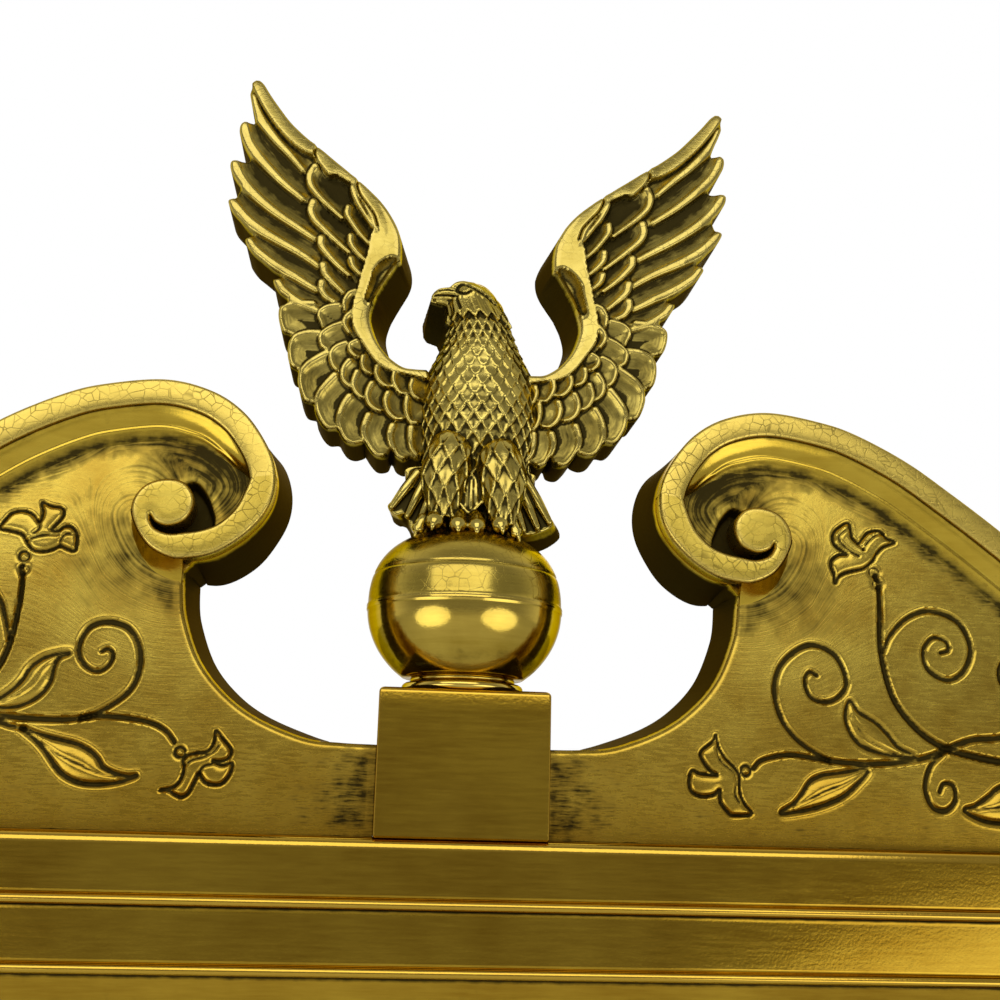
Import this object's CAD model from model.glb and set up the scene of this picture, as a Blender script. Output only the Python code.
"""Looks of the eagle mirror: carved gilt crest, cast eagle, turned ball and stepped frame.

Shapes are worked out in millimetres: x across, y depth (the wall is 0, the viewer is on the minus side) and
z above the top of the frame's rail. add_piece puts each one in the row's frame, in metres.
"""
import math

import bpy
import numpy as np
from mathutils import Matrix, Vector
from mathutils.geometry import delaunay_2d_cdt


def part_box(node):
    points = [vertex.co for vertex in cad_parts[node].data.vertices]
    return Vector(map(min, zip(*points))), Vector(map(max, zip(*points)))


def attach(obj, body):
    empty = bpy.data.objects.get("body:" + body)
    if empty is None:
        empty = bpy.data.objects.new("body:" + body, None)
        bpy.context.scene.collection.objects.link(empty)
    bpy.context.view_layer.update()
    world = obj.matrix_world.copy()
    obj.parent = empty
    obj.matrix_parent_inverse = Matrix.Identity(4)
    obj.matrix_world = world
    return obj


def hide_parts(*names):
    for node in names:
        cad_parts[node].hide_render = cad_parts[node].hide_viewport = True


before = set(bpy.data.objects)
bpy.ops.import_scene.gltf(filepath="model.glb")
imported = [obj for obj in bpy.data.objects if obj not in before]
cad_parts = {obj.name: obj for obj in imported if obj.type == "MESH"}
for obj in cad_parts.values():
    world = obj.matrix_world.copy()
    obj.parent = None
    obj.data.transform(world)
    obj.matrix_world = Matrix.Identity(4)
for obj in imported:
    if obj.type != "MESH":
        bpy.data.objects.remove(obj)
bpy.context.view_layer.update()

RAIL_TOP = 110.0    # height of the rail's top in the row's frame
BACK = -6.0         # depth of the crest's back
FIELD = -24.0       # depth of the crest boards' front
WALL_RINGS = 6      # rows of faces on a carved piece's walls
WELD = 1e-7         # points nearer than this are one point
SMOOTHING = 60      # rounds of averaging along a wall's lean


# ---------------------------------------------------------------- forms
def unit(value):
    """A value held between 0 and 1."""
    return np.clip(value, 0, 1)


class Form:
    """Points in millimetres with their four- and three-sided faces."""

    def __init__(self, verts, quads, tris):
        self.verts = np.asarray(verts, float).reshape(-1, 3)
        self.quads = np.asarray(quads, int).reshape(-1, 4)
        self.tris = np.asarray(tris, int).reshape(-1, 3)

    def __add__(self, other):
        shift = len(self.verts)
        return Form(np.vstack([self.verts, other.verts]), np.vstack([self.quads, other.quads + shift]),
                    np.vstack([self.tris, other.tris + shift]))

    def mirrored(self):
        return Form(self.verts * (-1, 1, 1), self.quads[:, ::-1], self.tris[:, ::-1])

    def outward(self):
        """Turns the faces of a closed form to look out of it."""
        p = self.verts - self.verts.mean(0)
        q, r = p[self.quads], p[self.tris]
        room = (np.cross(q[:, 0], q[:, 1]) * q[:, 2]).sum() + (np.cross(q[:, 0], q[:, 2]) * q[:, 3]).sum()
        room += (np.cross(r[:, 0], r[:, 1]) * r[:, 2]).sum()
        if room < 0:
            self.quads, self.tris = self.quads[:, ::-1], self.tris[:, ::-1]
        return self

    def edges(self):
        pairs = [self.quads[:, [k, (k + 1) % 4]] for k in range(4)]
        pairs += [self.tris[:, [k, (k + 1) % 3]] for k in range(3)]
        pairs = np.vstack(pairs)
        return np.vstack([pairs, pairs[:, ::-1]])

    def normals(self):
        total = np.zeros_like(self.verts)
        for faces, one, two in ((self.quads, (0, 2), (1, 3)), (self.tris, (0, 1), (0, 2))):
            if len(faces):
                corner = self.verts[faces]
                turn = np.cross(corner[:, one[1]] - corner[:, one[0]], corner[:, two[1]] - corner[:, two[0]])
                for k in range(faces.shape[1]):
                    np.add.at(total, faces[:, k], turn)
        return total / np.maximum(np.linalg.norm(total, axis=1), 1e-12)[:, None]

    def relaxed(self, rounds, share=1.0):
        """The points after each has moved toward the mean of its neighbours."""
        a, b = self.edges().T
        count = np.maximum(np.bincount(a, minlength=len(self.verts)), 1)[:, None]
        verts = self.verts
        for _ in range(rounds):
            mean = np.column_stack([np.bincount(a, verts[b, k], len(verts)) for k in range(3)]) / count
            verts = verts + (mean - verts) * share
        return verts

    def hollows(self):
        """Where dirt would settle (up to 1) and where gilding would be rubbed bright (down to -1)."""
        normals = self.normals()
        near = ((self.relaxed(3) - self.verts) * normals).sum(1)
        wide = ((self.relaxed(22) - self.verts) * normals).sum(1)
        return np.clip(0.7 * np.clip(near / 0.16, -1, 1) + 0.6 * np.clip(wide / 0.5, -1, 1), -1, 1)


def mesh_object(name, verts, faces):
    mesh = bpy.data.meshes.new(name)
    mesh.from_pydata(verts, [], faces)
    obj = bpy.data.objects.new(name, mesh)
    bpy.context.scene.collection.objects.link(obj)
    return obj, mesh


def add_piece(node, suffix, form, material, patina, sharp=40.0, flow=None):
    """Adds a piece that stands in for a CAD node, with its dirt and its brush direction at each point."""
    points = (form.verts + (0, 0, RAIL_TOP)) * 0.001
    obj, mesh = mesh_object(f"{node}_{suffix}", points.tolist(), form.quads.tolist() + form.tris.tolist())
    mesh.polygons.foreach_set("use_smooth", [True] * len(mesh.polygons))
    mesh.set_sharp_from_angle(angle=math.radians(sharp))
    mesh.attributes.new("patina", "FLOAT", "POINT").data.foreach_set("value", np.asarray(patina, float))
    if flow is not None:
        mesh.attributes.new("flow", "FLOAT_VECTOR", "POINT").data.foreach_set("vector", np.ravel(flow))
    mesh.update()
    mesh.materials.append(material)
    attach(obj, "frame")
    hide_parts(node)


def smooth_line(points, step, closed=False):
    """Points at an even step along a smooth curve through the given ones."""
    p = np.asarray(points, float)
    p = np.vstack([p[-1:], p, p[:2]]) if closed else np.vstack([2 * p[0] - p[1], p, 2 * p[-1] - p[-2]])
    t = np.linspace(0, 1, 12, endpoint=False)[:, None]
    parts = [0.5 * (2 * b + (c - a) * t + (2 * a - 5 * b + 4 * c - d) * t ** 2
                    + (3 * b - a - 3 * c + d) * t ** 3)
             for a, b, c, d in zip(p, p[1:], p[2:], p[3:])]
    dense = np.vstack(parts + [parts[0][:1] if closed else p[-2:-1]])
    return even_line(dense, step, closed)


def even_line(dense, step, closed=False):
    dense = np.asarray(dense, float)
    run = np.concatenate([[0], np.cumsum(np.linalg.norm(np.diff(dense, axis=0), axis=1))])
    even = np.linspace(0, run[-1], max(2, round(run[-1] / step) + 1))
    out = np.column_stack([np.interp(even, run, dense[:, k]) for k in range(dense.shape[1])])
    return out[:-1] if closed else out


def unit_rows(rows, least=0.0):
    return rows / (np.linalg.norm(rows, axis=1)[:, None] + least)


def near_line(x, z, line, reach):
    """Distance to a line for points within reach, which side they are on (left is 1) and the share along it."""
    line = np.asarray(line, float)
    dist, side, share = np.full(x.shape, float(reach)), np.ones(x.shape), np.zeros(x.shape)
    pick = ((x > line[:, 0].min() - reach) & (x < line[:, 0].max() + reach)
            & (z > line[:, 1].min() - reach) & (z < line[:, 1].max() + reach))
    px, pz = x[pick], z[pick]
    best, turn, at = np.full(px.shape, float(reach) ** 2), np.ones(px.shape), np.zeros(px.shape)
    steps = np.linalg.norm(np.diff(line, axis=0), axis=1)
    starts = np.concatenate([[0], np.cumsum(steps)])
    for (ax, az), (bx, bz), start, step in zip(line, line[1:], starts, steps):
        dx, dz = bx - ax, bz - az
        t = unit(((px - ax) * dx + (pz - az) * dz) / step ** 2)
        ox, oz = px - ax - t * dx, pz - az - t * dz
        apart = ox * ox + oz * oz
        closer = apart < best
        best = np.where(closer, apart, best)
        turn = np.where(closer, np.where(dx * oz - dz * ox >= 0, 1.0, -1.0), turn)
        at = np.where(closer, start + t * step, at)
    dist[pick], side[pick], share[pick] = np.sqrt(best), turn, at / starts[-1]
    return dist, side, share


def gap(x, z, line, reach):
    """Distance to a line, for points within reach."""
    return near_line(x, z, line, reach)[0]


def loop_gap(x, z, loop, reach):
    """Distance to a closed loop, for points within reach."""
    return gap(x, z, np.vstack([loop, loop[:1]]), reach)


def inside(x, z, loop):
    """Which points lie inside a closed loop."""
    odd = np.zeros(x.shape, bool)
    for (ax, az), (bx, bz) in zip(loop, np.roll(loop, -1, 0)):
        if az != bz:
            odd ^= ((az > z) != (bz > z)) & (x < ax + (z - az) * (bx - ax) / (bz - az))
    return odd


def loop_edges(count):
    return [(k, (k + 1) % count) for k in range(count)]


def filled(points, border, mode):
    """Triangles between the border's edges, as numbers of the points given, all turned anticlockwise."""
    _, _, tris, origin, _, _ = delaunay_2d_cdt([Vector(p) for p in points], border, [], mode, WELD)
    ids = np.array([o[0] if o else -1 for o in origin])
    tris = ids[np.array(tris)]
    tris = tris[(tris >= 0).all(1)]
    p = np.asarray(points)[tris]
    turned = np.cross(p[:, 1] - p[:, 0], p[:, 2] - p[:, 0]) < 0
    tris[turned] = tris[turned][:, ::-1]
    return tris


def skirt(front_loop, front, back_loop, back, rings):
    """Rings of points from a loop at one depth to a loop at another, and the faces between them."""
    loop = np.arange(len(front_loop))
    ahead = np.roll(loop, -1)
    verts, quads = [], []
    for k in range(rings + 1):
        share = k / rings
        at = front_loop * (1 - share) + back_loop * share
        verts.append(np.column_stack([at[:, 0], front * (1 - share) + back * share, at[:, 1]]))
        if k:
            start, end = (k - 1) * len(loop) + loop, k * len(loop) + loop
            quads.append(np.column_stack([start, end, end[ahead], start[ahead]]))
    return np.vstack(verts), np.vstack(quads)


def relief(outline, pitch, height, front, back_outline, back):
    """A carved slab: its front stands height(x, z) before the front plane, its walls run to the back."""
    outline, back_outline = np.asarray(outline, float), np.asarray(back_outline, float)
    low, high = outline.min(0) - 2 * pitch, outline.max(0) + 2 * pitch
    xs, zs = np.arange(low[0], high[0], pitch), np.arange(low[1], high[1], pitch)
    gx, gz = np.meshgrid(xs, zs)
    # a grid of square cells well inside the outline
    full = inside(gx, gz, outline)
    deep = full.copy()
    for dj in (-1, 0, 1):
        for di in (-1, 0, 1):
            deep &= np.roll(np.roll(full, dj, 0), di, 1)
    cells = deep[:-1, :-1] & deep[1:, :-1] & deep[:-1, 1:] & deep[1:, 1:]
    used = np.zeros(full.shape, bool)
    for dj in (0, 1):
        for di in (0, 1):
            used[dj:dj + cells.shape[0], di:di + cells.shape[1]] |= cells
    count = len(outline)
    number = np.full(full.shape, -1)
    number[used] = count + np.arange(used.sum())
    j, i = np.nonzero(cells)
    quads = np.column_stack([number[j, i], number[j, i + 1], number[j + 1, i + 1], number[j + 1, i]])
    # triangles between the grid's rim and the outline
    pairs = np.vstack([quads[:, [k, (k + 1) % 4]] for k in range(4)])
    key = np.sort(pairs, 1)
    key = key[:, 0] * (number.max() + 1) + key[:, 1]
    _, first, times = np.unique(key, return_index=True, return_counts=True)
    rim = pairs[first[times == 1]]
    flat = np.vstack([outline, np.column_stack([gx[used], gz[used]])])
    local = np.full(len(flat), -1)
    chosen = np.concatenate([np.arange(count), np.unique(rim)])
    local[chosen] = np.arange(len(chosen))
    tris = chosen[filled(flat[chosen], loop_edges(count) + [tuple(e) for e in local[rim]], 0)]
    mid = flat[tris].mean(1)
    ci = np.clip(((mid[:, 0] - xs[0]) / pitch).astype(int), 0, cells.shape[1] - 1)
    cj = np.clip(((mid[:, 1] - zs[0]) / pitch).astype(int), 0, cells.shape[0] - 1)
    tris = tris[inside(mid[:, 0], mid[:, 1], outline) & ~cells[cj, ci]]
    # the carved front, its walls and its back
    top = front - height(flat[:, 0], flat[:, 1])
    rings, walls = skirt(outline, top[:count], back_outline, back, WALL_RINGS)
    walls = np.where(walls < count, walls, walls - count + len(flat))
    cap = filled(back_outline, loop_edges(count), 1)[:, ::-1] + len(flat) + (WALL_RINGS - 1) * count
    form = Form(np.vstack([np.column_stack([flat[:, 0], top, flat[:, 1]]), rings[count:]]),
                np.vstack([quads, walls]), np.vstack([tris, cap]))
    form.front, form.rim = len(flat), count
    return form


def sweep(stations):
    """A skin over closed section loops of equal length, with its two ends filled."""
    stations = np.asarray(stations, float)
    rows, cols = stations.shape[:2]
    ids = np.arange(rows * cols).reshape(rows, cols)
    nxt = np.roll(ids, -1, 1)
    quads = np.column_stack([ids[:-1].ravel(), ids[1:].ravel(), nxt[1:].ravel(), nxt[:-1].ravel()])
    ends = np.vstack([stations[0].mean(0), stations[-1].mean(0)])
    total = rows * cols
    tris = np.vstack([np.column_stack([ids[0], nxt[0], np.full(cols, total)]),
                      np.column_stack([nxt[-1], ids[-1], np.full(cols, total + 1)])])
    return Form(np.vstack([stations.reshape(-1, 3), ends]), quads, tris).outward()


def ellipsoid(centre, radii, across=16, up=10):
    lat = np.linspace(-np.pi / 2, np.pi / 2, up + 1)[1:-1]
    lon = np.linspace(0, 2 * np.pi, across, endpoint=False)
    rings = np.array([[(np.cos(a) * np.cos(o), np.cos(a) * np.sin(o), np.sin(a)) for o in lon] for a in lat])
    points = np.vstack([rings.reshape(-1, 3), [(0, 0, -1), (0, 0, 1)]]) * radii
    ids = np.arange(len(lat) * across).reshape(len(lat), across)
    nxt = np.roll(ids, -1, 1)
    quads = np.column_stack([ids[:-1].ravel(), nxt[:-1].ravel(), nxt[1:].ravel(), ids[1:].ravel()])
    tris = np.vstack([np.column_stack([nxt[0], ids[0], np.full(across, ids.size)]),
                      np.column_stack([ids[-1], nxt[-1], np.full(across, ids.size + 1)])])
    return Form(points + np.asarray(centre, float), quads, tris).outward()


def rod(points, step, radii, sides):
    """A round bar along a smooth path, thick as the radii say, with domed ends."""
    path = smooth_line(points, step)
    radii = np.interp(np.linspace(0, 1, len(path)), np.linspace(0, 1, len(radii)), radii)
    ahead = unit_rows(np.gradient(path, axis=0))
    path = np.vstack([path[0] - ahead[0] * radii[0] * 0.7, path, path[-1] + ahead[-1] * radii[-1] * 0.7])
    ahead = np.vstack([ahead[:1], ahead, ahead[-1:]])
    radii = np.concatenate([[radii[0] * 0.45], radii, [radii[-1] * 0.45]])
    one = unit_rows(np.cross(ahead, (0.3, 0.9, 0.1)))
    two = np.cross(ahead, one)
    turn = np.linspace(0, 2 * np.pi, sides, endpoint=False)
    rings = (path[:, None, :] + radii[:, None, None]
             * (np.cos(turn)[None, :, None] * one[:, None, :] + np.sin(turn)[None, :, None] * two[:, None, :]))
    return sweep(rings[:, ::-1])


def slab(front_loop, front, back_loop, back, rings=4):
    """A plain block between two loops of equal length at two depths."""
    a, b = np.asarray(front_loop, float), np.asarray(back_loop, float)
    if (a[:, 0] * np.roll(a[:, 1], -1) - np.roll(a[:, 0], -1) * a[:, 1]).sum() < 0:
        a, b = a[::-1], b[::-1]
    count = len(a)
    verts, quads = skirt(a, np.full(count, front), b, back, rings)
    caps = [filled(loop, loop_edges(count), 1) for loop in (a, b)]
    return Form(verts, quads, np.vstack([caps[0], caps[1][:, ::-1] + rings * count]))


def fused(form, voxel):
    """One skin over many overlapping forms."""
    obj, mesh = mesh_object("fuse", form.verts.tolist(), form.quads.tolist() + form.tris.tolist())
    remesh = obj.modifiers.new("fuse", "REMESH")
    remesh.mode, remesh.voxel_size, remesh.adaptivity = "VOXEL", voxel, 0.0
    done = obj.evaluated_get(bpy.context.evaluated_depsgraph_get()).to_mesh()
    verts = np.empty(len(done.vertices) * 3)
    done.vertices.foreach_get("co", verts)
    quads, tris = [[p.vertices[:] for p in done.polygons if len(p.vertices) == size] for size in (4, 3)]
    obj.to_mesh_clear()
    bpy.data.objects.remove(obj)
    bpy.data.meshes.remove(mesh)
    out = Form(verts, quads, tris)
    out.verts = out.relaxed(1, 0.5)
    return out


# ---------------------------------------------------------------- materials
class Nodes:
    """A node tree, with short ways to add to it."""

    def __init__(self, tree):
        self.tree = tree
        tree.nodes.clear()

    def join(self, socket, value):
        if isinstance(value, bpy.types.NodeSocket):
            self.tree.links.new(value, socket)
        else:
            socket.default_value = value

    def add(self, kind, inputs=None, **props):
        node = self.tree.nodes.new("ShaderNode" + kind)
        for key, value in props.items():
            setattr(node, key, value)
        for key, value in (inputs or {}).items():
            self.join(node.inputs[key], value)
        return node

    def math(self, kind, a, b):
        return self.add("Math", {0: a, 1: b}, operation=kind).outputs[0]

    def plus(self, a, b):
        return self.math("ADD", a, b)

    def times(self, a, b):
        return self.math("MULTIPLY", a, b)

    def part(self, vector, axis):
        return self.add("SeparateXYZ", {0: vector}).outputs[axis]


class Shader(Nodes):
    """A material with one Principled shader."""

    def __init__(self, name, **values):
        self.mat = bpy.data.materials.new(name)
        self.mat.use_nodes = True
        super().__init__(self.mat.node_tree)
        self.bsdf = self.add("BsdfPrincipled")
        self.add("OutputMaterial", {0: self.bsdf.outputs[0]})
        for key, value in values.items():
            self.put(key.replace("_", " "), value)
        self.coords = self.add("TexCoord").outputs
        self.place = self.coords["Object"]

    def put(self, key, value):
        self.join(self.bsdf.inputs[key], value)

    def noise(self, scale, detail=3.0, vector=None, rough=0.55):
        """Noise over the object's own coordinates, or over those stretched by three factors."""
        if isinstance(vector, tuple):
            vector = self.stretch(vector, self.place)
        return self.add("TexNoise", {"Vector": vector or self.place, "Scale": scale, "Detail": detail,
                                     "Roughness": rough}).outputs["Fac"]

    def stretch(self, scale, vector):
        return self.add("Mapping", {"Vector": vector, "Scale": scale}).outputs[0]

    def span(self, value, a, b, c, d):
        return self.add("MapRange", {"Value": value, "From Min": a, "From Max": b, "To Min": c, "To Max": d},
                        clamp=True).outputs[0]

    def ramp(self, value, stops):
        node = self.add("ValToRGB", {"Fac": value})
        for part, (at, colour) in zip(node.color_ramp.elements, stops):
            part.position, part.color = at, (*colour, 1.0)
        return node.outputs["Color"]

    def blend(self, share, a, b):
        return self.add("Mix", data_type="RGBA", inputs={0: share, 6: a, 7: b}).outputs[2]

    def bump(self, height, distance, strength):
        return self.add("Bump", {"Height": height, "Distance": distance, "Strength": strength}).outputs[0]


EDGE_TINT = (0.52, 0.42, 0.17, 1.0)     # gold at grazing angles
DIRT = (0.030, 0.022, 0.006, 1.0)
TONER = (0.42, 0.235, 0.014, 1.0)       # lacquer that makes the boards browner toward the rail
STAIN = [(0.3, (0.070, 0.036, 0.016)), (0.7, (0.135, 0.075, 0.034))]
GRIME = 0.97                            # how far dirt can cover the gold
CRACKS_PER_METRE = 390.0


def gilt(name, light, dark, rough, grain, flow=False, crackle=0.0, blotch=70.0, brush=0.1, toned=0.0):
    """Old gilding: mottled gold with brush grain, fine cracks, dirt in its hollows and rubbed edges."""
    s = Shader(name, Specular_Tint=EDGE_TINT)
    cloud = s.noise(blotch, 5.0)
    speck = s.noise(1400.0, 2.0)
    if flow:
        along = s.add("Attribute", attribute_name="flow").outputs["Vector"]
        streak = s.noise(1.0, 4.0, s.stretch((190.0, 1500.0, 1.0), along), 0.65)
    else:
        streak = s.noise(1.0, 4.0, (90.0, 90.0, 1100.0), 0.65)
    colour = s.ramp(s.plus(s.times(cloud, 0.65), s.times(streak, 0.35)), [(0.36, dark), (0.62, light)])
    dirt = s.add("Attribute", attribute_name="patina").outputs["Fac"]
    uneven = s.plus(dirt, s.span(s.noise(260.0, 4.0), 0.3, 0.7, -0.16, 0.08 if crackle else 0.16))
    uneven = s.plus(uneven, s.span(streak, 0.3, 0.7, -brush, brush))
    settled = s.span(uneven, 0.12, 0.75, 0.0, GRIME)
    bright = (min(1, light[0] * 1.3), min(1, light[1] * 1.3), light[2] * 1.8, 1.0)
    colour = s.blend(s.span(dirt, -0.15, -0.8, 0.0, 0.7), colour, bright)
    if toned:
        colour = s.blend(s.span(s.part(s.place, "Z"), 0.112, 0.152, toned, 0.0), colour, TONER)
    gloss = s.span(s.plus(streak, s.times(speck, 0.5)), 0.5, 1.0, rough * 0.82, rough * 1.22)
    height = s.plus(s.times(streak, grain), s.times(speck, 0.1 if crackle else 0.22))
    if crackle:
        tilt = s.add("TexNoise", {"Vector": s.place, "Scale": 170.0, "Detail": 1.0}).outputs["Color"]
        shift = s.add("VectorMath", {0: tilt, "Scale": 0.0012}, operation="SCALE").outputs[0]
        warped = s.add("VectorMath", {0: s.place, 1: shift}, operation="ADD").outputs[0]
        cells = s.add("TexVoronoi", {"Vector": warped, "Scale": CRACKS_PER_METRE}, feature="DISTANCE_TO_EDGE")
        line = s.span(cells.outputs["Distance"], 0.0, 0.05, crackle, 0.0)
        line = s.times(line, s.span(s.noise(110.0, 2.0), 0.35, 0.62, 0.15, 1.0))
        settled = s.math("MAXIMUM", settled, line)
        height = s.math("SUBTRACT", height, s.times(line, 0.8))
    colour = s.blend(settled, colour, DIRT)
    # the side that faces the wall is not gilded: brown stain with brush marks
    bare = s.times(s.span(s.part(s.coords["Normal"], "Y"), 0.8, 0.95, 0.0, 1.0),
                   s.span(s.part(s.place, "Y"), -0.0076, -0.0066, 0.0, 1.0))
    stain = s.ramp(s.noise(1.0, 5.0, (38.0, 400.0, 260.0), 0.6), STAIN)
    s.put("Base Color", s.blend(bare, colour, stain))
    s.put("Metallic", s.span(bare, 0.0, 1.0, 1.0, 0.0))
    s.put("Roughness", s.math("MAXIMUM", s.plus(gloss, s.times(settled, 0.4)), s.times(bare, 0.62)))
    s.put("Normal", s.bump(height, 0.00012, 0.55))
    return s.mat


GILT_FIELD = gilt("gilt_field", (0.60, 0.43, 0.064), (0.40, 0.25, 0.030), 0.23, 0.3, flow=True, brush=0.24,
                  toned=0.7)
GILT_BAND = gilt("gilt_band", (0.55, 0.405, 0.064), (0.43, 0.30, 0.041), 0.28, 0.12, crackle=0.55)
GILT_GLOSS = gilt("gilt_gloss", (0.62, 0.43, 0.050), (0.50, 0.33, 0.032), 0.17, 0.05)
GILT_CAST = gilt("gilt_cast", (0.62, 0.485, 0.115), (0.46, 0.34, 0.065), 0.17, 0.08, blotch=120.0, crackle=0.22)
GILT_WING = gilt("gilt_wing", (0.54, 0.42, 0.096), (0.38, 0.28, 0.052), 0.21, 0.35, blotch=120.0, crackle=0.32,
                 flow=True, brush=0.15)
GILT_CROWN = gilt("gilt_crown", (0.52, 0.38, 0.064), (0.38, 0.265, 0.040), 0.19, 0.05, crackle=0.35)
GILT_BALL = gilt("gilt_ball", (0.56, 0.40, 0.062), (0.40, 0.27, 0.034), 0.12, 0.05)
GILT_RAIL = gilt("gilt_rail", (0.50, 0.315, 0.030), (0.33, 0.185, 0.014), 0.12, 0.04, blotch=26.0, brush=0.03)


# ---------------------------------------------------------------- crest boards
# Traced lines of the right board: its scrolled edge, the inside of the scroll's last turn and the arc under it.
EDGE = [(200, 42), (180, 52.7), (160, 69.7), (142.8, 83.6), (129.5, 93.5), (118, 101.4), (105, 108),
        (95, 111.2), (80, 113.3), (68, 110.9), (59.3, 105.5), (53.2, 97.6), (50.3, 90.6), (50.1, 84.0),
        (52.5, 78.0), (57.7, 72.2), (64.5, 67.8), (71.7, 66.2), (75.7, 66.6), (80.2, 68.9), (83.4, 72.8),
        (85.3, 76.9), (85.5, 79.5), (84.8, 82.0), (83.0, 84.5), (80.3, 86.1), (76.4, 86.8), (72.8, 85.9),
        (70.6, 83.3), (70.0, 80.6), (71.0, 77.3), (73.1, 75.4), (76.4, 74.5), (79.3, 75.4), (80.7, 77.2)]
BAND_IN_EDGE = [(80.7, 75.9), (79.2, 73.8), (75.7, 72.6), (71.8, 73.1), (67.8, 73.9), (63.7, 75.7),
                (60.0, 79.4), (58.0, 83.6)]
ARC = [(71.7, 60.6), (70.5, 52.3), (66, 41.4), (59, 33.3), (50.5, 27.6), (39, 23.3), (30, 22.4), (21, 22.2)]
EYE = np.array((75.0, 79.9))
BOARD_PITCH = 0.36

whole_edge = smooth_line(EDGE, 0.6)
neck_turn = np.unwrap(np.arctan2(whole_edge[:, 1] - EYE[1], whole_edge[:, 0] - EYE[0]))
neck_turn -= neck_turn[np.argmax(whole_edge[:, 1])] - np.pi / 2
edge_eighth = np.maximum((np.degrees(neck_turn) - 90) / 45, 0)      # eighths of a turn round the scroll's eye
split = int(np.argmax(edge_eighth > 1.75))
neck_line, neck_eighth = whole_edge[:split + 1], edge_eighth[:split + 1]
inner_share = np.interp(neck_eighth, [0, 0.4, 1.0, 1.4, 1.72], [1, 0.98, 0.8, 0.45, 0.0])

upper = whole_edge[edge_eighth < 3.72]
arc_line = smooth_line(ARC, 0.8)
board_loop = np.vstack([[(21, 0)], even_line([(21.8, 0), (200, 0)], 1.2),
                        even_line([(200, 0.8), (200, 41.2)], 1.0), upper,
                        even_line([(upper[-1][0] + 0.5, upper[-1][1] - 0.3), (71.9, 63.6)], 0.8),
                        arc_line, even_line([(21, 21.4), (21, 0.8)], 0.9)])

# Each stem with its half width and depth.
VINE = [
    (0.95, 0.85, [(75.1, 19.2), (77.5, 21.3), (84.1, 22.8), (91.2, 22.2), (95.2, 21.6), (104.7, 21.1),
                  (114.1, 21.9), (121.7, 23.4), (126.9, 25.6), (133.9, 28.1), (141.3, 28.9), (150, 31.6),
                  (156.2, 37.6), (157.2, 45.0), (152.6, 50.6), (146.0, 50.8), (142.4, 46.4), (143.8, 41.6),
                  (148.2, 40.8), (150.4, 44.0), (148.4, 46.4)]),
    (0.9, 0.8, [(95.2, 21.6), (87.4, 26.2), (82.6, 32.4), (81.2, 40.5), (84.1, 47.1), (90.9, 51.3),
                (97.6, 49.0), (100.6, 42.3), (98.5, 38.3), (94.7, 36.6), (90.7, 37.8), (89.3, 41.9),
                (90.7, 44.3), (92.5, 43.5)]),
    (0.95, 1.05, [(109.3, 71.6), (110.3, 69.0), (110.6, 63.8), (110.2, 51.5), (111.9, 41.6), (114.8, 35.2),
                  (120.4, 29.2), (126.9, 25.6), (134.1, 23.8), (140.8, 22.7), (151, 21.4), (161, 20.2),
                  (171, 21.4), (178.2, 26.0), (180, 32.2), (175.6, 36.6), (169.8, 35.0), (168.4, 30.2),
                  (172.0, 28.4)]),
    (0.9, 0.8, [(111.0, 50.5), (113.1, 54.8), (118.0, 59.6), (124.5, 61.7), (131.8, 59.1), (135.0, 52.5),
                (132.9, 46.3), (128.1, 43.5), (123.0, 46.0), (121.9, 50.9), (124.6, 54.5), (128.2, 53.8),
                (128.8, 51.5), (126.6, 50.6)]),
    (0.85, 0.75, [(125.8, 24.5), (122.0, 20.9), (120.4, 15.5), (122.0, 10.8), (125.4, 9.9), (128.2, 12.5),
                  (127.9, 16.2), (125.3, 16.7), (124.1, 14.6)]),
]
# Each leaf with its rib.
LEAVES = [
    ([(101.3, 37.0), (100.0, 33.5), (100.7, 29.9), (103.2, 26.3), (107.5, 24.4), (112.4, 23.5), (117.8, 23.6),
      (116.8, 24.1), (113.6, 25.6), (111.0, 28.7), (107.9, 31.7), (103.6, 34.2)],
     [(101.6, 33.1), (103.9, 28.9), (108.6, 25.5), (112.9, 24.0)]),
    ([(82.1, 8.3), (87.5, 9.0), (92.9, 10.4), (98.3, 12.8), (102.2, 16.0), (105.1, 19.7), (98.6, 18.7),
      (93.1, 17.8), (89.9, 16.2), (87.6, 13.0), (85.4, 10.5)],
     [(85.9, 10.0), (93.0, 13.7), (98.4, 15.9), (104.0, 18.9)]),
    ([(130.7, 10.1), (136.0, 7.6), (143.0, 7.6), (149.0, 11.6), (153.6, 19.6), (147.4, 18.6), (140.3, 16.0),
      (137.5, 13.9), (133.5, 11.2)], [(134.0, 10.4), (141.0, 11.6), (147.0, 14.6), (152.0, 18.6)]),
    ([(186.5, 8.6), (181.6, 7.2), (175.4, 8.0), (169.6, 12.2), (165.4, 18.6), (172.2, 18.0), (178.6, 15.8),
      (183.4, 12.2)], [(183.0, 9.6), (176.6, 11.8), (171.6, 14.6), (167.0, 18.0)]),
]
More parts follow.
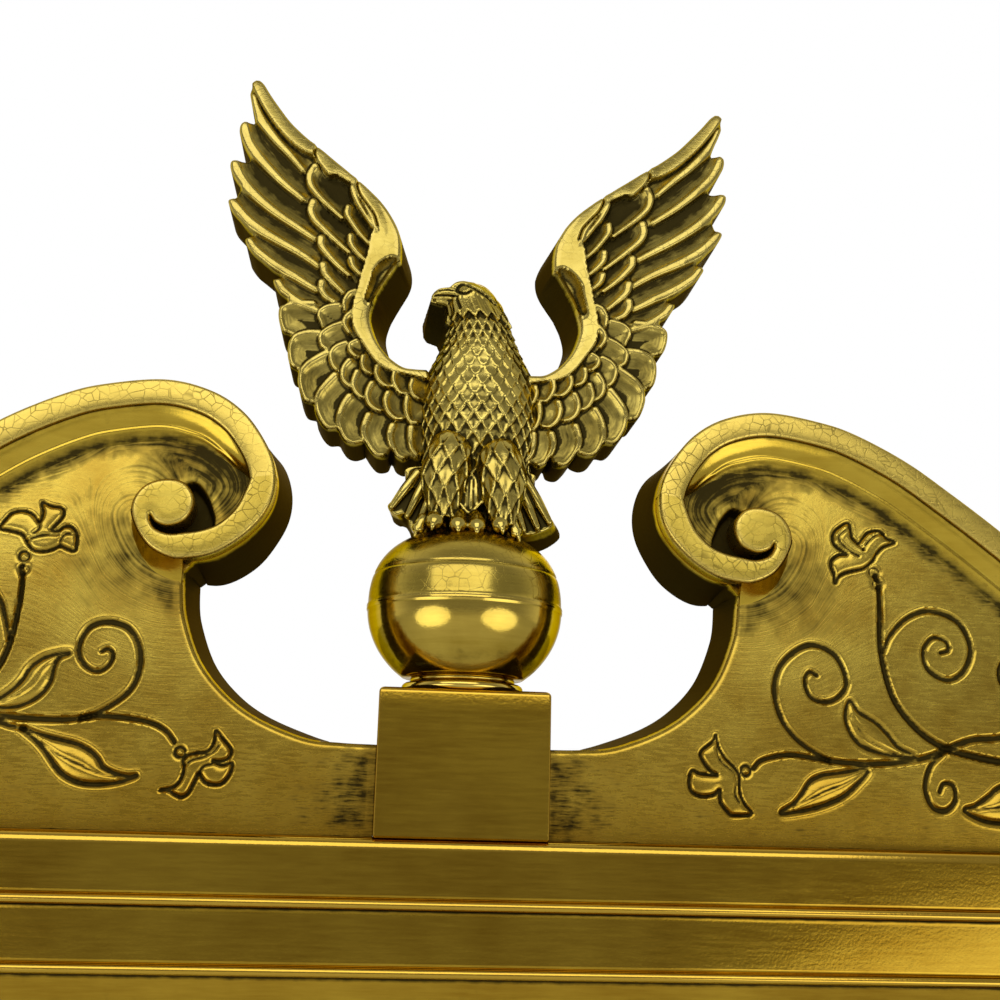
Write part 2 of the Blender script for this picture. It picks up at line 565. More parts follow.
# Each bird with the lines in it.
BIRDS = [
    ([(115.4, 80.1), (113.2, 81.1), (112.2, 82.6), (110.1, 83.0), (107.9, 82.2), (106.4, 80.4), (105.3, 79.5),
      (103.6, 81.3), (102.9, 84.8), (100.2, 83.5), (98.5, 81.6), (98.4, 79.3), (99.9, 77.6), (102.1, 76.2),
      (99.8, 75.9), (97.8, 74.4), (97.5, 72.7), (98.4, 70.3), (98.5, 68.2), (99.6, 70.0), (101.4, 71.1),
      (104.2, 71.9), (106.7, 72.7), (109.0, 74.6), (110.3, 76.7), (112.3, 78.7)],
     [[(102.8, 83.6), (100.1, 81.2), (100.3, 79.4), (102.7, 77.1), (105.1, 75.8)],
      [(103.2, 81.0), (105.3, 78.9), (106.6, 77.6)],
      [(106.6, 77.6), (108.2, 80.1), (110.4, 81.8), (112.5, 82.1)]]),
    ([(65.3, 27.2), (64.7, 25.7), (61.5, 23.0), (61.7, 21.0), (63.8, 18.2), (65.4, 17.2), (61.1, 17.4),
      (59.0, 18.1), (58.2, 15.3), (59.0, 12.8), (61.6, 11.8), (64.8, 12.4), (66.1, 13.5), (66.3, 10.5),
      (68.4, 7.8), (69.7, 7.3), (74.2, 7.8), (72.6, 10.1), (71.6, 12.1), (71.2, 14.6), (71.2, 17.2),
      (69.9, 19.2), (67.6, 21.6), (66.0, 24.2)],
     [[(65.2, 24.1), (66.5, 20.6), (69.6, 18.1), (70.4, 15.6), (70.0, 12.6), (71.1, 10.6)]]),
]
BEADS = [(109.3, 71.6), (110.2, 68.5), (73.0, 18.5)]

# The left board was cut freehand too, so its vine differs; past the picture's edge it follows the right one.
LEFT_VINE = [
    (0.95, 0.85, [(70.5, 21.3), (72.2, 23.4), (74.2, 24.8), (76.7, 25.8), (80.4, 26.5), (84.5, 26.9),
                  (88.9, 27.0), (93.6, 26.3), (98.3, 25.8), (103.1, 25.8), (107.8, 26.0), (112.6, 26.2),
                  (119.0, 26.3), (126.9, 26.9)] + VINE[0][2][9:]),
    (0.9, 0.8, [(93.6, 26.3), (89.0, 28.2), (84.5, 31.3), (81.9, 34.3), (80.6, 38.3), (80.6, 42.3),
                (81.8, 46.0), (84.2, 48.9), (87.5, 50.1), (90.7, 50.1), (93.5, 48.8), (95.2, 46.2),
                (95.7, 42.9), (94.7, 40.3), (92.7, 38.5), (90.5, 37.9), (88.5, 39.0), (87.4, 40.9),
                (87.5, 42.8), (88.8, 43.6), (90.0, 42.9)]),
    (0.95, 1.05, [(111.7, 63.4), (111.3, 59.9), (111.3, 54.8), (111.7, 49.8), (112.4, 44.8), (113.4, 41.0),
                  (114.7, 38.0), (118.2, 33.0), (122.4, 29.0)] + VINE[2][2][7:]),
    (0.9, 0.8, [(112.9, 45.3), (113.5, 47.7), (114.6, 51.2), (116.0, 54.6), (119.4, 58.4)] + VINE[3][2][3:]),
    VINE[4],
    (0.85, 0.75, [(106.6, 23.3), (110.0, 24.0), (112.4, 24.8), (118.0, 26.0)]),
]
LEFT_LEAVES = [
    ([(98.1, 42.1), (101.2, 41.6), (104.2, 40.4), (106.8, 38.1), (108.4, 35.1), (110.5, 32.6), (113.1, 30.5),
      (115.4, 29.5), (112.9, 28.4), (109.3, 28.7), (105.9, 30.1), (103.3, 32.3), (101.7, 35.3), (101.3, 38.3),
      (100.4, 40.8)], [(100.0, 41.1), (103.3, 38.2), (105.7, 34.2), (108.5, 31.7), (113.0, 29.6)]),
    ([(79.1, 12.9), (80.8, 12.6), (83.9, 13.2), (86.9, 14.6), (88.6, 16.9), (90.9, 18.7), (94.1, 20.1),
      (97.8, 20.9), (102.6, 22.0), (107.1, 23.5), (105.0, 21.9), (102.9, 20.2), (100.8, 18.0), (98.8, 15.4),
      (96.4, 12.9), (93.2, 11.3), (89.6, 10.7), (84.9, 11.0), (81.4, 11.9)],
     [(102.0, 20.3), (97.4, 17.3), (92.4, 15.1), (88.2, 13.3), (83.9, 12.5)]),
] + LEAVES[2:]
LEFT_BIRDS = [
    ([(118.2, 73.0), (117.2, 75.0), (115.7, 76.9), (113.3, 77.6), (110.8, 77.0), (109.1, 75.2), (108.4, 75.5),
      (108.1, 77.5), (108.6, 80.0), (106.1, 79.2), (103.5, 78.8), (103.0, 77.0), (104.3, 74.9), (105.6, 73.0),
      (103.9, 72.8), (102.3, 74.1), (100.5, 73.9), (99.1, 71.7), (99.2, 68.1), (100.9, 68.3), (103.0, 69.0),
      (104.8, 68.0), (107.2, 67.4), (109.7, 67.9), (111.4, 69.9), (112.6, 71.6), (115.1, 72.3)],
     [[(109.1, 75.2), (108.4, 73.4), (109.7, 71.8)],
      [(111.2, 70.1), (108.6, 71.2), (105.7, 71.8), (103.3, 71.8)],
      [(103.0, 69.0), (102.9, 70.8), (101.8, 72.1), (100.4, 72.2)]]),
    ([(60.6, 24.3), (58.5, 22.1), (56.6, 19.8), (57.2, 17.7), (59.1, 17.0), (60.8, 17.0), (58.5, 16.1),
      (56.1, 16.5), (56.6, 13.8), (58.2, 11.7), (60.1, 11.3), (62.3, 11.9), (63.9, 13.8), (64.5, 12.8),
      (65.3, 10.9), (66.1, 9.2), (67.5, 8.2), (69.0, 8.6), (71.0, 9.7), (72.9, 9.7), (70.1, 10.3),
      (68.7, 11.5), (67.9, 13.2), (67.6, 15.1), (68.0, 16.8), (67.1, 18.1), (65.0, 18.7), (62.6, 19.1),
      (61.3, 20.4), (60.8, 22.1)],
     [[(67.6, 15.6), (65.8, 17.1), (63.3, 17.9), (60.9, 19.2), (59.6, 20.9)],
      [(63.9, 13.8), (63.1, 15.5), (61.0, 16.3)]]),
]
LEFT_BEADS = [(111.5, 66.0), (111.3, 62.7), (68.9, 18.9)]
ORNAMENT = {"right": (VINE, LEAVES, BIRDS, BEADS), "left": (LEFT_VINE, LEFT_LEAVES, LEFT_BIRDS, LEFT_BEADS)}
POCKET = [(74.0, 85.6), (71.2, 86.9), (69.2, 85.4), (67.4, 82.9), (66.0, 79.6), (65.4, 77.0), (66.4, 73.6),
          (71, 71.5), (77, 71.5), (81, 75), (79, 80), (76, 83)]


def bell(value, middle, width):
    return np.exp(-((value - middle) / width) ** 2)


def groove(dist, wide, deep):
    """A rounded cut with a thin raised lip on each side."""
    return -deep * unit(1 - (dist / wide) ** 2) ** 0.75 + 0.08 * np.exp(-((dist - wide - 0.25) / 0.28) ** 2)


def board_height(x, z, ornament):
    """How far the carved front stands out of the board's field."""
    vine, leaves, birds, beads = ornament
    height = np.zeros(x.shape)
    rim, side, _ = near_line(x, z, upper, 8.0)
    height -= 0.35 * ((rim < 5.6) & (side > 0))
    height -= 0.9 * unit(1 - gap(x, z, arc_line, 3.0) / 1.3) ** 2
    for loop, rib in leaves:
        loop = smooth_line(loop, 0.6, closed=True)
        dist = loop_gap(x, z, loop, 4.0)
        dome = 0.75 * unit(dist / 2.4) ** 0.6 - 0.35
        dome -= 0.4 * unit(1 - gap(x, z, smooth_line(rib, 0.6), 3.0) / 0.6)
        height = np.where(inside(x, z, loop), height + dome - 0.45 * bell(dist, 0, 0.6),
                          height - 0.85 * unit(1 - dist / 1.1) + 0.15 * bell(dist, 1.3, 0.3))
    for wide, deep, line in vine:
        dist, _, share = near_line(x, z, smooth_line(line, 0.7), 4.0)
        cut = groove(dist, wide * (0.75 + 0.35 * np.sin(np.pi * unit(share * 1.1))), deep)
        height = np.minimum(height, height + cut) + unit(cut)
    for loop, lines in birds:
        loop = smooth_line(loop, 0.5, closed=True)
        dist = loop_gap(x, z, loop, 3.0)
        height += np.where(inside(x, z, loop), 0.5 * unit(dist / 1.6) ** 0.7, 0) + groove(dist, 0.52, 0.65)
        for line in lines:
            height += groove(gap(x, z, smooth_line(line, 0.5), 3.0), 0.45, 0.5)
    for bx, bz in beads:
        away = np.hypot(x - bx, z - bz)
        height += 0.5 * unit(1 - (away / 0.8) ** 2) - 0.6 * bell(away, 1.25, 0.4)
    loop = smooth_line(POCKET, 0.6, closed=True)
    dist = loop_gap(x, z, loop, 2.0)
    height -= 5.0 * unit(np.where(inside(x, z, loop), dist, -dist) / 1.0 + 0.3) ** 0.8
    return height


def board_flow(form):
    """Brush marks: level over the field, turning to follow the neck near it."""
    x, z = form.verts[:, 0], form.verts[:, 2]
    rim, _, share = near_line(x, z, whole_edge[edge_eighth < 6], 60.0)
    turn = unit(1.2 - rim / 34) * unit((118 - x) / 26)
    meet = (x > 94) & (x < 116) & (rim < 30)
    slant, start = np.polyfit(share[meet], x[meet], 1)
    along = (1 - turn) * x + turn * (start + slant * share)
    across = (1 - turn) * z + turn * (np.mean((z + rim)[meet]) - rim)
    return np.column_stack([along, across, form.verts[:, 1]]) * 0.001


def board_grime(form):
    """Dirt in the cuts, soot round the scroll, and residue by the plinth and along the rail's ledge."""
    x, y, z = form.verts.T
    rim = gap(x, z, whole_edge[edge_eighth < 3.3], 40.0)
    smudge = 0.62 * unit(1.4 - rim / 15) * unit((102 - x) / 26)
    smudge += 0.55 * unit(1 - np.hypot(x - 87, z - 67) / 22)
    smudge += 0.60 * unit(1.2 - np.hypot(x - 72, z - 91) / 15)
    smudge = np.maximum(smudge, 0.56 * unit(1.3 - (rim - 15) / 4.0))
    smudge += 0.46 * unit((46 - x) / 24) ** 1.2 * unit((32 - z) / 10)
    smudge += 0.24 * unit((36 - z) / 28)
    dirt = np.maximum(np.maximum(form.hollows(), -0.2) + smudge,
                      0.78 * unit((y - FIELD - 0.2) / 0.5) * (rim > 10))
    dirt[form.front:] = 1.1
    dirt[:form.rim] = np.where((x < 24) | (z < 3), 0.7, -0.2)[:form.rim]
    dirt[:form.front][y[:form.front] > FIELD + 2.2] = 0.95
    return dirt


# The walls lean out toward the back, most under the scroll.
ahead = unit_rows(np.roll(board_loop, -1, 0) - np.roll(board_loop, 1, 0), 1e-9)
draft = np.zeros(len(board_loop))
for line, lean in ((whole_edge[(edge_eighth > 1.2) & (edge_eighth < 3.8)], 2.8),
                   (whole_edge[(edge_eighth > 2.5) & (edge_eighth < 3.8)], 4.2), (arc_line[:-16], 2.0)):
    draft[gap(*board_loop.T, line, 1.0) < 0.3] = lean
for _ in range(SMOOTHING):
    draft = 0.25 * np.roll(draft, 1) + 0.5 * draft + 0.25 * np.roll(draft, -1)
draft *= unit((board_loop[:, 0] - 24) / 10)
board_back = board_loop + np.column_stack([ahead[:, 1], -ahead[:, 0]]) * draft[:, None]
for name, ornament in ORNAMENT.items():
    board = relief(board_loop, BOARD_PITCH, lambda x, z: board_height(x, z, ornament), FIELD, board_back, BACK)
    board.verts[board.rim:board.front] = board.relaxed(1, 0.5)[board.rim:board.front]
    form = board.mirrored() if name == "left" else board
    add_piece(f"crest_board_{name}", "carved", form, GILT_FIELD, board_grime(board), flow=board_flow(board))

# ---------------------------------------------------------------- swan necks
# The moulding inside the band: distance in from the band and height over the field.
INNER = [(0.03, 3.8), (0.3, 3.55), (1.2, 3.3), (2.2, 2.9), (3.2, 2.35), (4.0, 1.75), (4.5, 1.35), (4.9, 1.25),
         (5.3, 1.36), (5.7, 1.25), (6.1, 0.9), (6.5, 0.52), (7.2, 0.26), (8.0, 0.12), (8.8, 0.0), (9.2, -0.6)]
NECK_BAND, BAND_ROUND = 6.7, 0.85
BAND_HIGH = 5.03
FLANK_STEPS = 48
VOLUTE_BACK, VOLUTE_PITCH = -18.4, 0.3


def neck_section(share):
    """Distance in from the edge and height over the field, across the band and its share of the moulding."""
    wide, edge = NECK_BAND, BAND_ROUND
    corner = [(0, 4.2), (edge * 0.14, 4.62), (edge * 0.45, 4.9), (edge, BAND_HIGH)]
    profile = [(0, -0.6), (0, 1.2), (0, 2.8)] + corner
    profile += [(edge + (wide - 2 * edge) * t, BAND_HIGH + 0.14 * math.sin(math.pi * t))
                for t in (0.2, 0.4, 0.6, 0.8)]
    profile += [(wide - d, h) for d, h in corner[::-1]]
    profile += [(wide + share * d, share * h + (1 - share) * (4.2 - 5.6 * (k + 1) / len(INNER)))
                for k, (d, h) in enumerate(INNER)]
    return np.array(profile)


def at_depth(line, depth):
    """A flat line's points at one depth, or each at its own."""
    return np.column_stack([line[:, 0], np.zeros(len(line)) + depth, line[:, 1]])


def flank_points(line):
    """As many points of a line as the flank has steps."""
    pick, own = np.linspace(0, 1, FLANK_STEPS), np.linspace(0, 1, len(line))
    return np.column_stack([np.interp(pick, own, line[:, k]) for k in (0, 1)])


ahead = unit_rows(np.gradient(neck_line, axis=0))
inward = np.column_stack([-ahead[:, 1], ahead[:, 0]])
sections = []
for at, into, share in zip(neck_line, inward, inner_share):
    p = neck_section(share)
    sections.append(at_depth(at + into * p[:, :1], FIELD - p[:, 1]))
sections = np.array(sections)
rest = sections.shape[1] - len(INNER)
shut, under = [sections[:, k:k + 1] * (1, 0, 1) + (0, FIELD + 0.6, 0) for k in (0, rest - 1)]
neck = sweep(np.concatenate([sections[:, :rest], under, shut], axis=1)[:, ::-1])
moulding = sweep(np.concatenate([sections[:, rest - 1:], under], axis=1)[:, ::-1])
mould_dirt = np.zeros(len(moulding.verts))
settled = np.interp([d for d, _ in INNER[1:]], [0, 0.5, 5.7, 6.3, 8.0, 9.2], [0.6, 0, 0, 0.35, 0.75, 0.55])
settled = np.tile(np.concatenate([[0, 0.75], settled, [0]])[::-1], len(sections))
mould_dirt[:len(settled)] = settled

# The flank under the scroll's end, from the band's edge down to the field.
start, end = [int(np.argmin(np.hypot(*(whole_edge - at).T))) for at in ((71.7, 66.2), (85.4, 78.6))]
top_line = flank_points(even_line(whole_edge[start:end + 1], 0.5))
foot_line = flank_points(smooth_line([(72.3, 60.5), (75.6, 61.2), (79.6, 63.2), (82.6, 66.6), (84.9, 71.0),
                                      (86.1, 75.6), (85.9, 79.0)], 0.2))
strip = [at_depth(top_line * (1 - share) + foot_line * share, FIELD - 4.9 * (1 - share) ** 1.35 + 0.3)
         for share in np.linspace(0, 1, 10)]
strip += [at_depth(line, FIELD + 0.8) for line in (foot_line, top_line)]
flank = sweep(np.stack(strip, axis=1))
moulding += flank
mould_dirt = np.concatenate([mould_dirt, np.zeros(len(flank.verts))])

# The scroll's last turns are cut from one flat form.
turns = whole_edge[split - 3:]
inner_line = smooth_line(BAND_IN_EDGE + [tuple(neck_line[k] + inward[k] * NECK_BAND) for k in (-1, -4)], 0.6)
volute_loop = np.vstack([turns, inner_line])
volute_back = volute_loop + 0.0
ahead = unit_rows(np.gradient(turns, axis=0))
volute_back[:len(turns)] += np.column_stack([-ahead[:, 1], ahead[:, 0]]) * 0.5


def volute_height(x, z):
    edge = gap(x, z, volute_loop, 4.0)
    return 5.02 + 0.12 * unit(edge / 3) - 0.85 * unit(1 - edge / 0.85) ** 2.2


neck += relief(volute_loop, VOLUTE_PITCH, volute_height, FIELD, volute_back, VOLUTE_BACK)
for suffix, form, material, dirt, sharp in (("moulded", neck, GILT_BAND, neck.hollows() * 0.8, 50),
                                            ("ovolo", moulding, GILT_GLOSS, mould_dirt, 70)):
    add_piece("swan_neck_right", suffix, form, material, dirt, sharp)
    add_piece("swan_neck_left", suffix, form.mirrored(), material, dirt, sharp)

# ---------------------------------------------------------------- eagle wings
# Traced lines of the left wing: the ribs of its feathers, row by row, each from its tip.
PRIMARY = [
    [(-64.1, 195.8), (-62.7, 192.4), (-60.6, 188.9), (-56.7, 183.9), (-52.4, 179.4), (-48.7, 175.2)],
    [(-65.6, 187.5), (-65.0, 184.9), (-63.6, 181.7), (-61.0, 178.3), (-57.5, 174.5), (-53.6, 170.8),
     (-50.2, 168.1), (-48.3, 166.6)],
    [(-67.3, 176.0), (-66.4, 173.4), (-64.2, 170.0), (-60.8, 166.5), (-57.1, 163.4), (-52.9, 160.5),
     (-49.2, 158.2), (-44.4, 155.2)],
    [(-67.4, 164.4), (-65.5, 162.1), (-62.4, 159.0), (-58.3, 156.2), (-53.9, 153.8), (-49.5, 151.5),
     (-45.8, 149.3), (-42.8, 147.2)],
    [(-62.3, 153.4), (-60.3, 150.8), (-56.7, 148.1), (-53.0, 145.9), (-49.0, 143.9), (-45.8, 142.0),
     (-42.9, 140.4)],
    [(-53.9, 142.1), (-52.3, 139.8), (-49.6, 137.8), (-46.1, 136.0), (-42.4, 134.6)],
]
SECOND = [
    [(-45.4, 175.9), (-46.6, 173.4), (-46.2, 170.6), (-44.0, 167.7), (-41.0, 164.8), (-37.2, 161.5)],
    [(-45.2, 165.5), (-45.7, 163.0), (-44.5, 160.4), (-41.6, 157.6), (-38.2, 154.5), (-34.8, 151.6)],
    [(-42.5, 155.0), (-42.3, 153.0), (-40.3, 150.4), (-37.7, 147.7), (-34.5, 145.0)],
    [(-41.5, 147.4), (-41.0, 145.2), (-38.8, 142.7), (-35.8, 139.9)],
    [(-41.5, 142.3), (-41.6, 140.5), (-40.2, 138.4), (-37.7, 137.0)],
]
THIRD = [
    [(-34.2, 172.3), (-34.7, 169.9), (-33.5, 166.4), (-31.3, 162.9), (-28.9, 159.3)],
    [(-35.7, 164.4), (-35.8, 162.4), (-34.2, 159.7), (-32.1, 156.9), (-29.6, 154.3)],
    [(-34.6, 156.1), (-34.4, 154.0), (-32.7, 151.6), (-30.2, 149.2)],
    [(-34.2, 149.5), (-33.5, 147.4), (-31.4, 145.2)],
    [(-32.6, 140.1), (-34.1, 139.4), (-35.3, 137.1), (-35.0, 134.7)],
    [(-32.9, 134.3), (-34.5, 132.8), (-34.9, 130.7), (-33.5, 128.5)],
]
LOBES = [
    [(-43.6, 136.4), (-47.6, 136.3), (-50.9, 135.5), (-52.1, 133.6), (-51.7, 130.8), (-50.6, 128.5),
     (-48.4, 127.9)],
    [(-41.4, 128.3), (-44.5, 128.1), (-47.8, 126.8), (-49.0, 123.9), (-48.8, 121.6), (-48.0, 119.3),
     (-46.1, 118.0)],
    [(-39.1, 122.8), (-41.6, 121.2), (-44.0, 119.3), (-45.5, 117.1), (-45.7, 114.8), (-45.0, 112.1),
     (-43.8, 109.8), (-41.7, 109.2)],
    [(-36.7, 116.7), (-38.9, 114.0), (-40.4, 111.6), (-41.0, 109.2), (-40.5, 106.6), (-39.1, 104.0),
     (-37.5, 102.5), (-35.7, 102.6)],
    [(-32.6, 111.1), (-33.9, 108.9), (-34.8, 106.1), (-34.9, 103.8), (-34.0, 101.2), (-32.7, 99.4),
     (-30.8, 98.7), (-29.0, 99.2)],
    [(-27.4, 106.2), (-28.2, 103.8), (-28.4, 101.9), (-27.8, 99.7), (-26.4, 97.4), (-24.5, 95.7),
     (-23.1, 95.9)],
    [(-21.0, 103.7), (-21.5, 101.9), (-21.4, 100.0), (-20.6, 97.8), (-19.4, 95.9), (-17.7, 95.1)],
    [(-16.1, 103.4), (-16.2, 100.7), (-15.7, 98.0), (-14.3, 96.2)],
]
MIDDLE = [
    [(-36.7, 136.2), (-39.5, 135.6), (-41.4, 134.3), (-41.7, 132.7), (-41.0, 131.1), (-40.6, 130.0)],
    [(-35.5, 131.1), (-38.0, 130.1), (-40.3, 128.4), (-41.0, 126.8), (-40.5, 124.8), (-39.1, 123.8)],
    [(-34.3, 125.6), (-36.6, 124.5), (-37.8, 123.0), (-38.0, 121.5), (-37.4, 119.5), (-36.2, 118.1)],
    [(-33.1, 120.8), (-34.3, 119.0), (-34.7, 117.4), (-34.5, 115.8), (-33.5, 114.5), (-32.5, 113.8)],
    [(-30.9, 117.8), (-31.5, 116.0), (-31.8, 114.4), (-31.2, 112.7), (-30.0, 111.4), (-29.1, 110.9)],
    [(-26.9, 114.9), (-27.7, 113.1), (-28.0, 111.2), (-27.3, 109.3), (-25.8, 108.0), (-24.3, 107.5)],
    [(-22.6, 112.4), (-23.1, 110.7), (-22.9, 108.7), (-21.9, 106.9), (-20.2, 105.6), (-18.4, 105.7)],
    [(-17.5, 111.4), (-17.7, 109.0), (-17.3, 106.7), (-16.2, 104.9), (-14.7, 104.8)],
]
NEAR = [
    [(-31.5, 126.2), (-33.0, 125.3), (-33.1, 123.7), (-31.7, 122.2), (-30.8, 121.9)],
    [(-29.5, 122.0), (-29.7, 120.0), (-28.9, 118.3), (-27.2, 117.4)],
    [(-25.7, 119.5), (-25.9, 117.5), (-24.9, 115.6), (-23.2, 114.3), (-21.5, 114.3)],
    [(-21.0, 118.6), (-21.3, 116.2), (-20.6, 114.3), (-19.3, 112.6), (-17.6, 112.5)],
    [(-16.3, 116.3), (-16.6, 114.2), (-15.9, 112.2), (-14.4, 111.2)],
]
# Its outline in three runs, the scoop behind the shoulder, the joints in the leading band and
# the band's inner edge.
WING_OUT = [(-63.0, 201.3), (-64.0, 200.2), (-64.4, 197.7), (-63.8, 194.4), (-63.0, 191.6), (-62.5, 189.0),
            (-63.5, 188.7), (-65.2, 188.6), (-66.2, 187.5), (-66.4, 185.6), (-65.9, 183.6), (-64.4, 180.4),
            (-63.1, 178.1), (-63.8, 177.1), (-65.9, 176.8), (-67.5, 176.6), (-68.1, 175.5), (-67.7, 173.3),
            (-66.2, 170.8), (-65.0, 169.1), (-65.4, 167.7), (-66.1, 165.7), (-67.6, 164.9), (-67.7, 163.8),
            (-66.5, 161.5), (-64.2, 159.1), (-62.5, 157.1), (-60.8, 155.4), (-61.6, 154.5), (-62.5, 153.5),
            (-61.9, 152.0), (-60.0, 149.6), (-57.7, 147.8), (-54.5, 145.3), (-52.6, 144.2), (-52.9, 143.2),
            (-54.3, 142.5), (-53.9, 141.1), (-52.4, 139.0), (-50.3, 137.5), (-50.6, 136.5), (-52.0, 135.4),
            (-52.4, 133.6), (-52.0, 130.8), (-50.9, 128.3), (-48.9, 127.5), (-49.3, 124.7), (-49.2, 121.6),
            (-48.3, 118.9), (-46.3, 117.6), (-46.2, 114.7), (-45.4, 111.7), (-44.1, 109.4), (-41.7, 108.7),
            (-41.2, 106.5), (-39.6, 103.6), (-37.7, 102.0), (-35.3, 102.1), (-34.4, 100.8), (-32.9, 98.9),
            (-30.8, 98.2), (-28.5, 98.9), (-28.1, 99.3), (-26.5, 97.0), (-24.5, 95.2), (-21.9, 95.6),
            (-20.9, 97.6), (-19.6, 95.5), (-17.5, 94.6), (-15.8, 95.7), (-13.9, 95.1)]
THROAT = [(-12.7, 119.5), (-16.0, 119.5), (-19.0, 119.9), (-22.1, 121.9), (-24.4, 124.3), (-26.4, 127.3),
          (-27.9, 131.2), (-28.4, 134.0), (-28.0, 136.8), (-26.7, 140.5), (-24.3, 145.1), (-21.9, 149.3)]
LEADING = [(-21.0, 155.4), (-21.8, 158.9), (-24.2, 163.5), (-27.3, 167.6), (-31.2, 171.3), (-33.8, 173.4),
           (-38.4, 177.2), (-42.6, 180.6), (-45.4, 182.7), (-49.5, 186.1), (-53.0, 189.5), (-56.2, 193.6),
           (-58.6, 196.9), (-60.7, 200.1)]
SCOOP = [(-28.5, 144.3), (-28.1, 146.2), (-26.4, 148.7), (-24.0, 150.6), (-22.2, 150.6), (-22.2, 149.8),
         (-22.0, 149.0), (-23.6, 146.0), (-26.0, 141.8), (-27.7, 138.4), (-29.0, 137.3), (-29.8, 138.3),
         (-29.5, 140.3)]
PARTING = [
    [(-45.2, 182.7), (-45.7, 180.7), (-45.5, 179.1), (-44.4, 176.8), (-42.2, 174.1)],
    [(-33.5, 173.2), (-33.7, 171.1), (-32.7, 168.4), (-30.5, 165.4), (-28.6, 162.7), (-27.6, 159.6)],
]
BAND_IN = [(-63.5, 198.6), (-61.8, 195.4), (-59.4, 191.5), (-56.2, 187.2), (-52.6, 183.4), (-49.2, 180.9),
           (-46.2, 179.5), (-44.6, 177.2), (-41.9, 174.1), (-39.0, 174.0), (-35.9, 172.2), (-34.0, 169.6),
           (-31.0, 164.4), (-28.7, 159.1), (-29.2, 156.7), (-29.5, 153.6), (-29.9, 150.8), (-30.8, 146.8),
           (-31.1, 145.9), (-31.8, 141.8), (-32.7, 137.7), (-33.0, 133.7), (-32.3, 129.7), (-30.1, 126.3),
           (-27.7, 122.9), (-25.7, 120.7), (-22.7, 118.9), (-19.7, 118.3), (-16.3, 117.7), (-13.3, 117.1)]
WING_FRONT, WING_BACK = -27.6, -13.0
WING_PITCH = 0.3

# Each row of feathers: rise of the rib, lift of the row, half width, reach, fade of the vane,
# and its least tone.
ROWS = ((PRIMARY, 1.9, 0.3, 1.75, 8.0, 1.9, 0.0), (SECOND, 1.5, 1.0, 1.2, 6.5, 1.3, 0.05),
        (THIRD, 1.2, 1.7, 1.05, 5.5, 1.1, 0.1), (LOBES, 1.6, 0.3, 1.0, 8.0, 1.6, 0.4),
        (MIDDLE, 1.4, 1.0, 0.9, 6.5, 1.4, 0.45), (NEAR, 1.1, 1.7, 0.85, 5.0, 1.2, 0.5))

out_line = smooth_line(WING_OUT, 0.5)
root_line = even_line([(-13.2, 95.6), (-11.0, 100.0), (-10.6, 108.0), (-11.0, 115.0), (-12.2, 119.0)], 0.8)
throat_line = smooth_line(THROAT, 0.5)
lead_line = smooth_line([(-20.9, 149.9)] + LEADING + [(-62.0, 201.3)], 0.5)
wing_loop = np.vstack([out_line, root_line, throat_line, lead_line])
lean = np.concatenate([np.linspace(0, 0.4, len(out_line)), np.full(len(root_line), 0.4),
                       np.interp(np.linspace(0, 1, len(throat_line)), [0, 0.4, 1], [0.4, 5.0, 4.5]),
                       np.interp(np.linspace(0, 1, len(lead_line)), [0, 0.3, 1], [4.5, 1.5, 0])])
wing_back = wing_loop + np.column_stack([lean * 0.95, -lean * 0.25])
corner = len(wing_loop) - len(lead_line)
near = np.arange(corner - 22, corner + 26)
for _ in range(SMOOTHING):
    wing_back[near] = 0.25 * wing_back[near - 1] + 0.5 * wing_back[near] + 0.25 * wing_back[near + 1]
band_line = smooth_line(BAND_IN, 0.5)
scoop_loop = smooth_line(SCOOP, 0.5, closed=True)


def feather(x, z, line, rise, lift, wide, reach, fade):
    """Height of a rib, steep outward and hollow inward, its tone and the run of its brush marks."""
    line = smooth_line(line, 0.5)
    dist, side, share = near_line(x, z, line, reach)
    half = wide * (1.15 - 0.6 * share)
    past = np.clip(dist - 0.65 * half, 0, None)
    crown = 1 - 0.12 * unit(dist / half) ** 2
    inner = np.exp(-past / fade) * crown
    outer = unit(1 - past / (0.55 * half)) ** 0.8 * crown
    tone = np.where(side > 0, inner, outer)
    fall = np.where(side > 0, unit(1 - dist / reach), outer)
    close = dist < reach
    height = np.where(close, lift * fall + rise * tone * (1.05 - 0.3 * share), 0)
    return height, np.where(close, tone, 0), np.column_stack([share * len(line) * 0.5, dist * side])


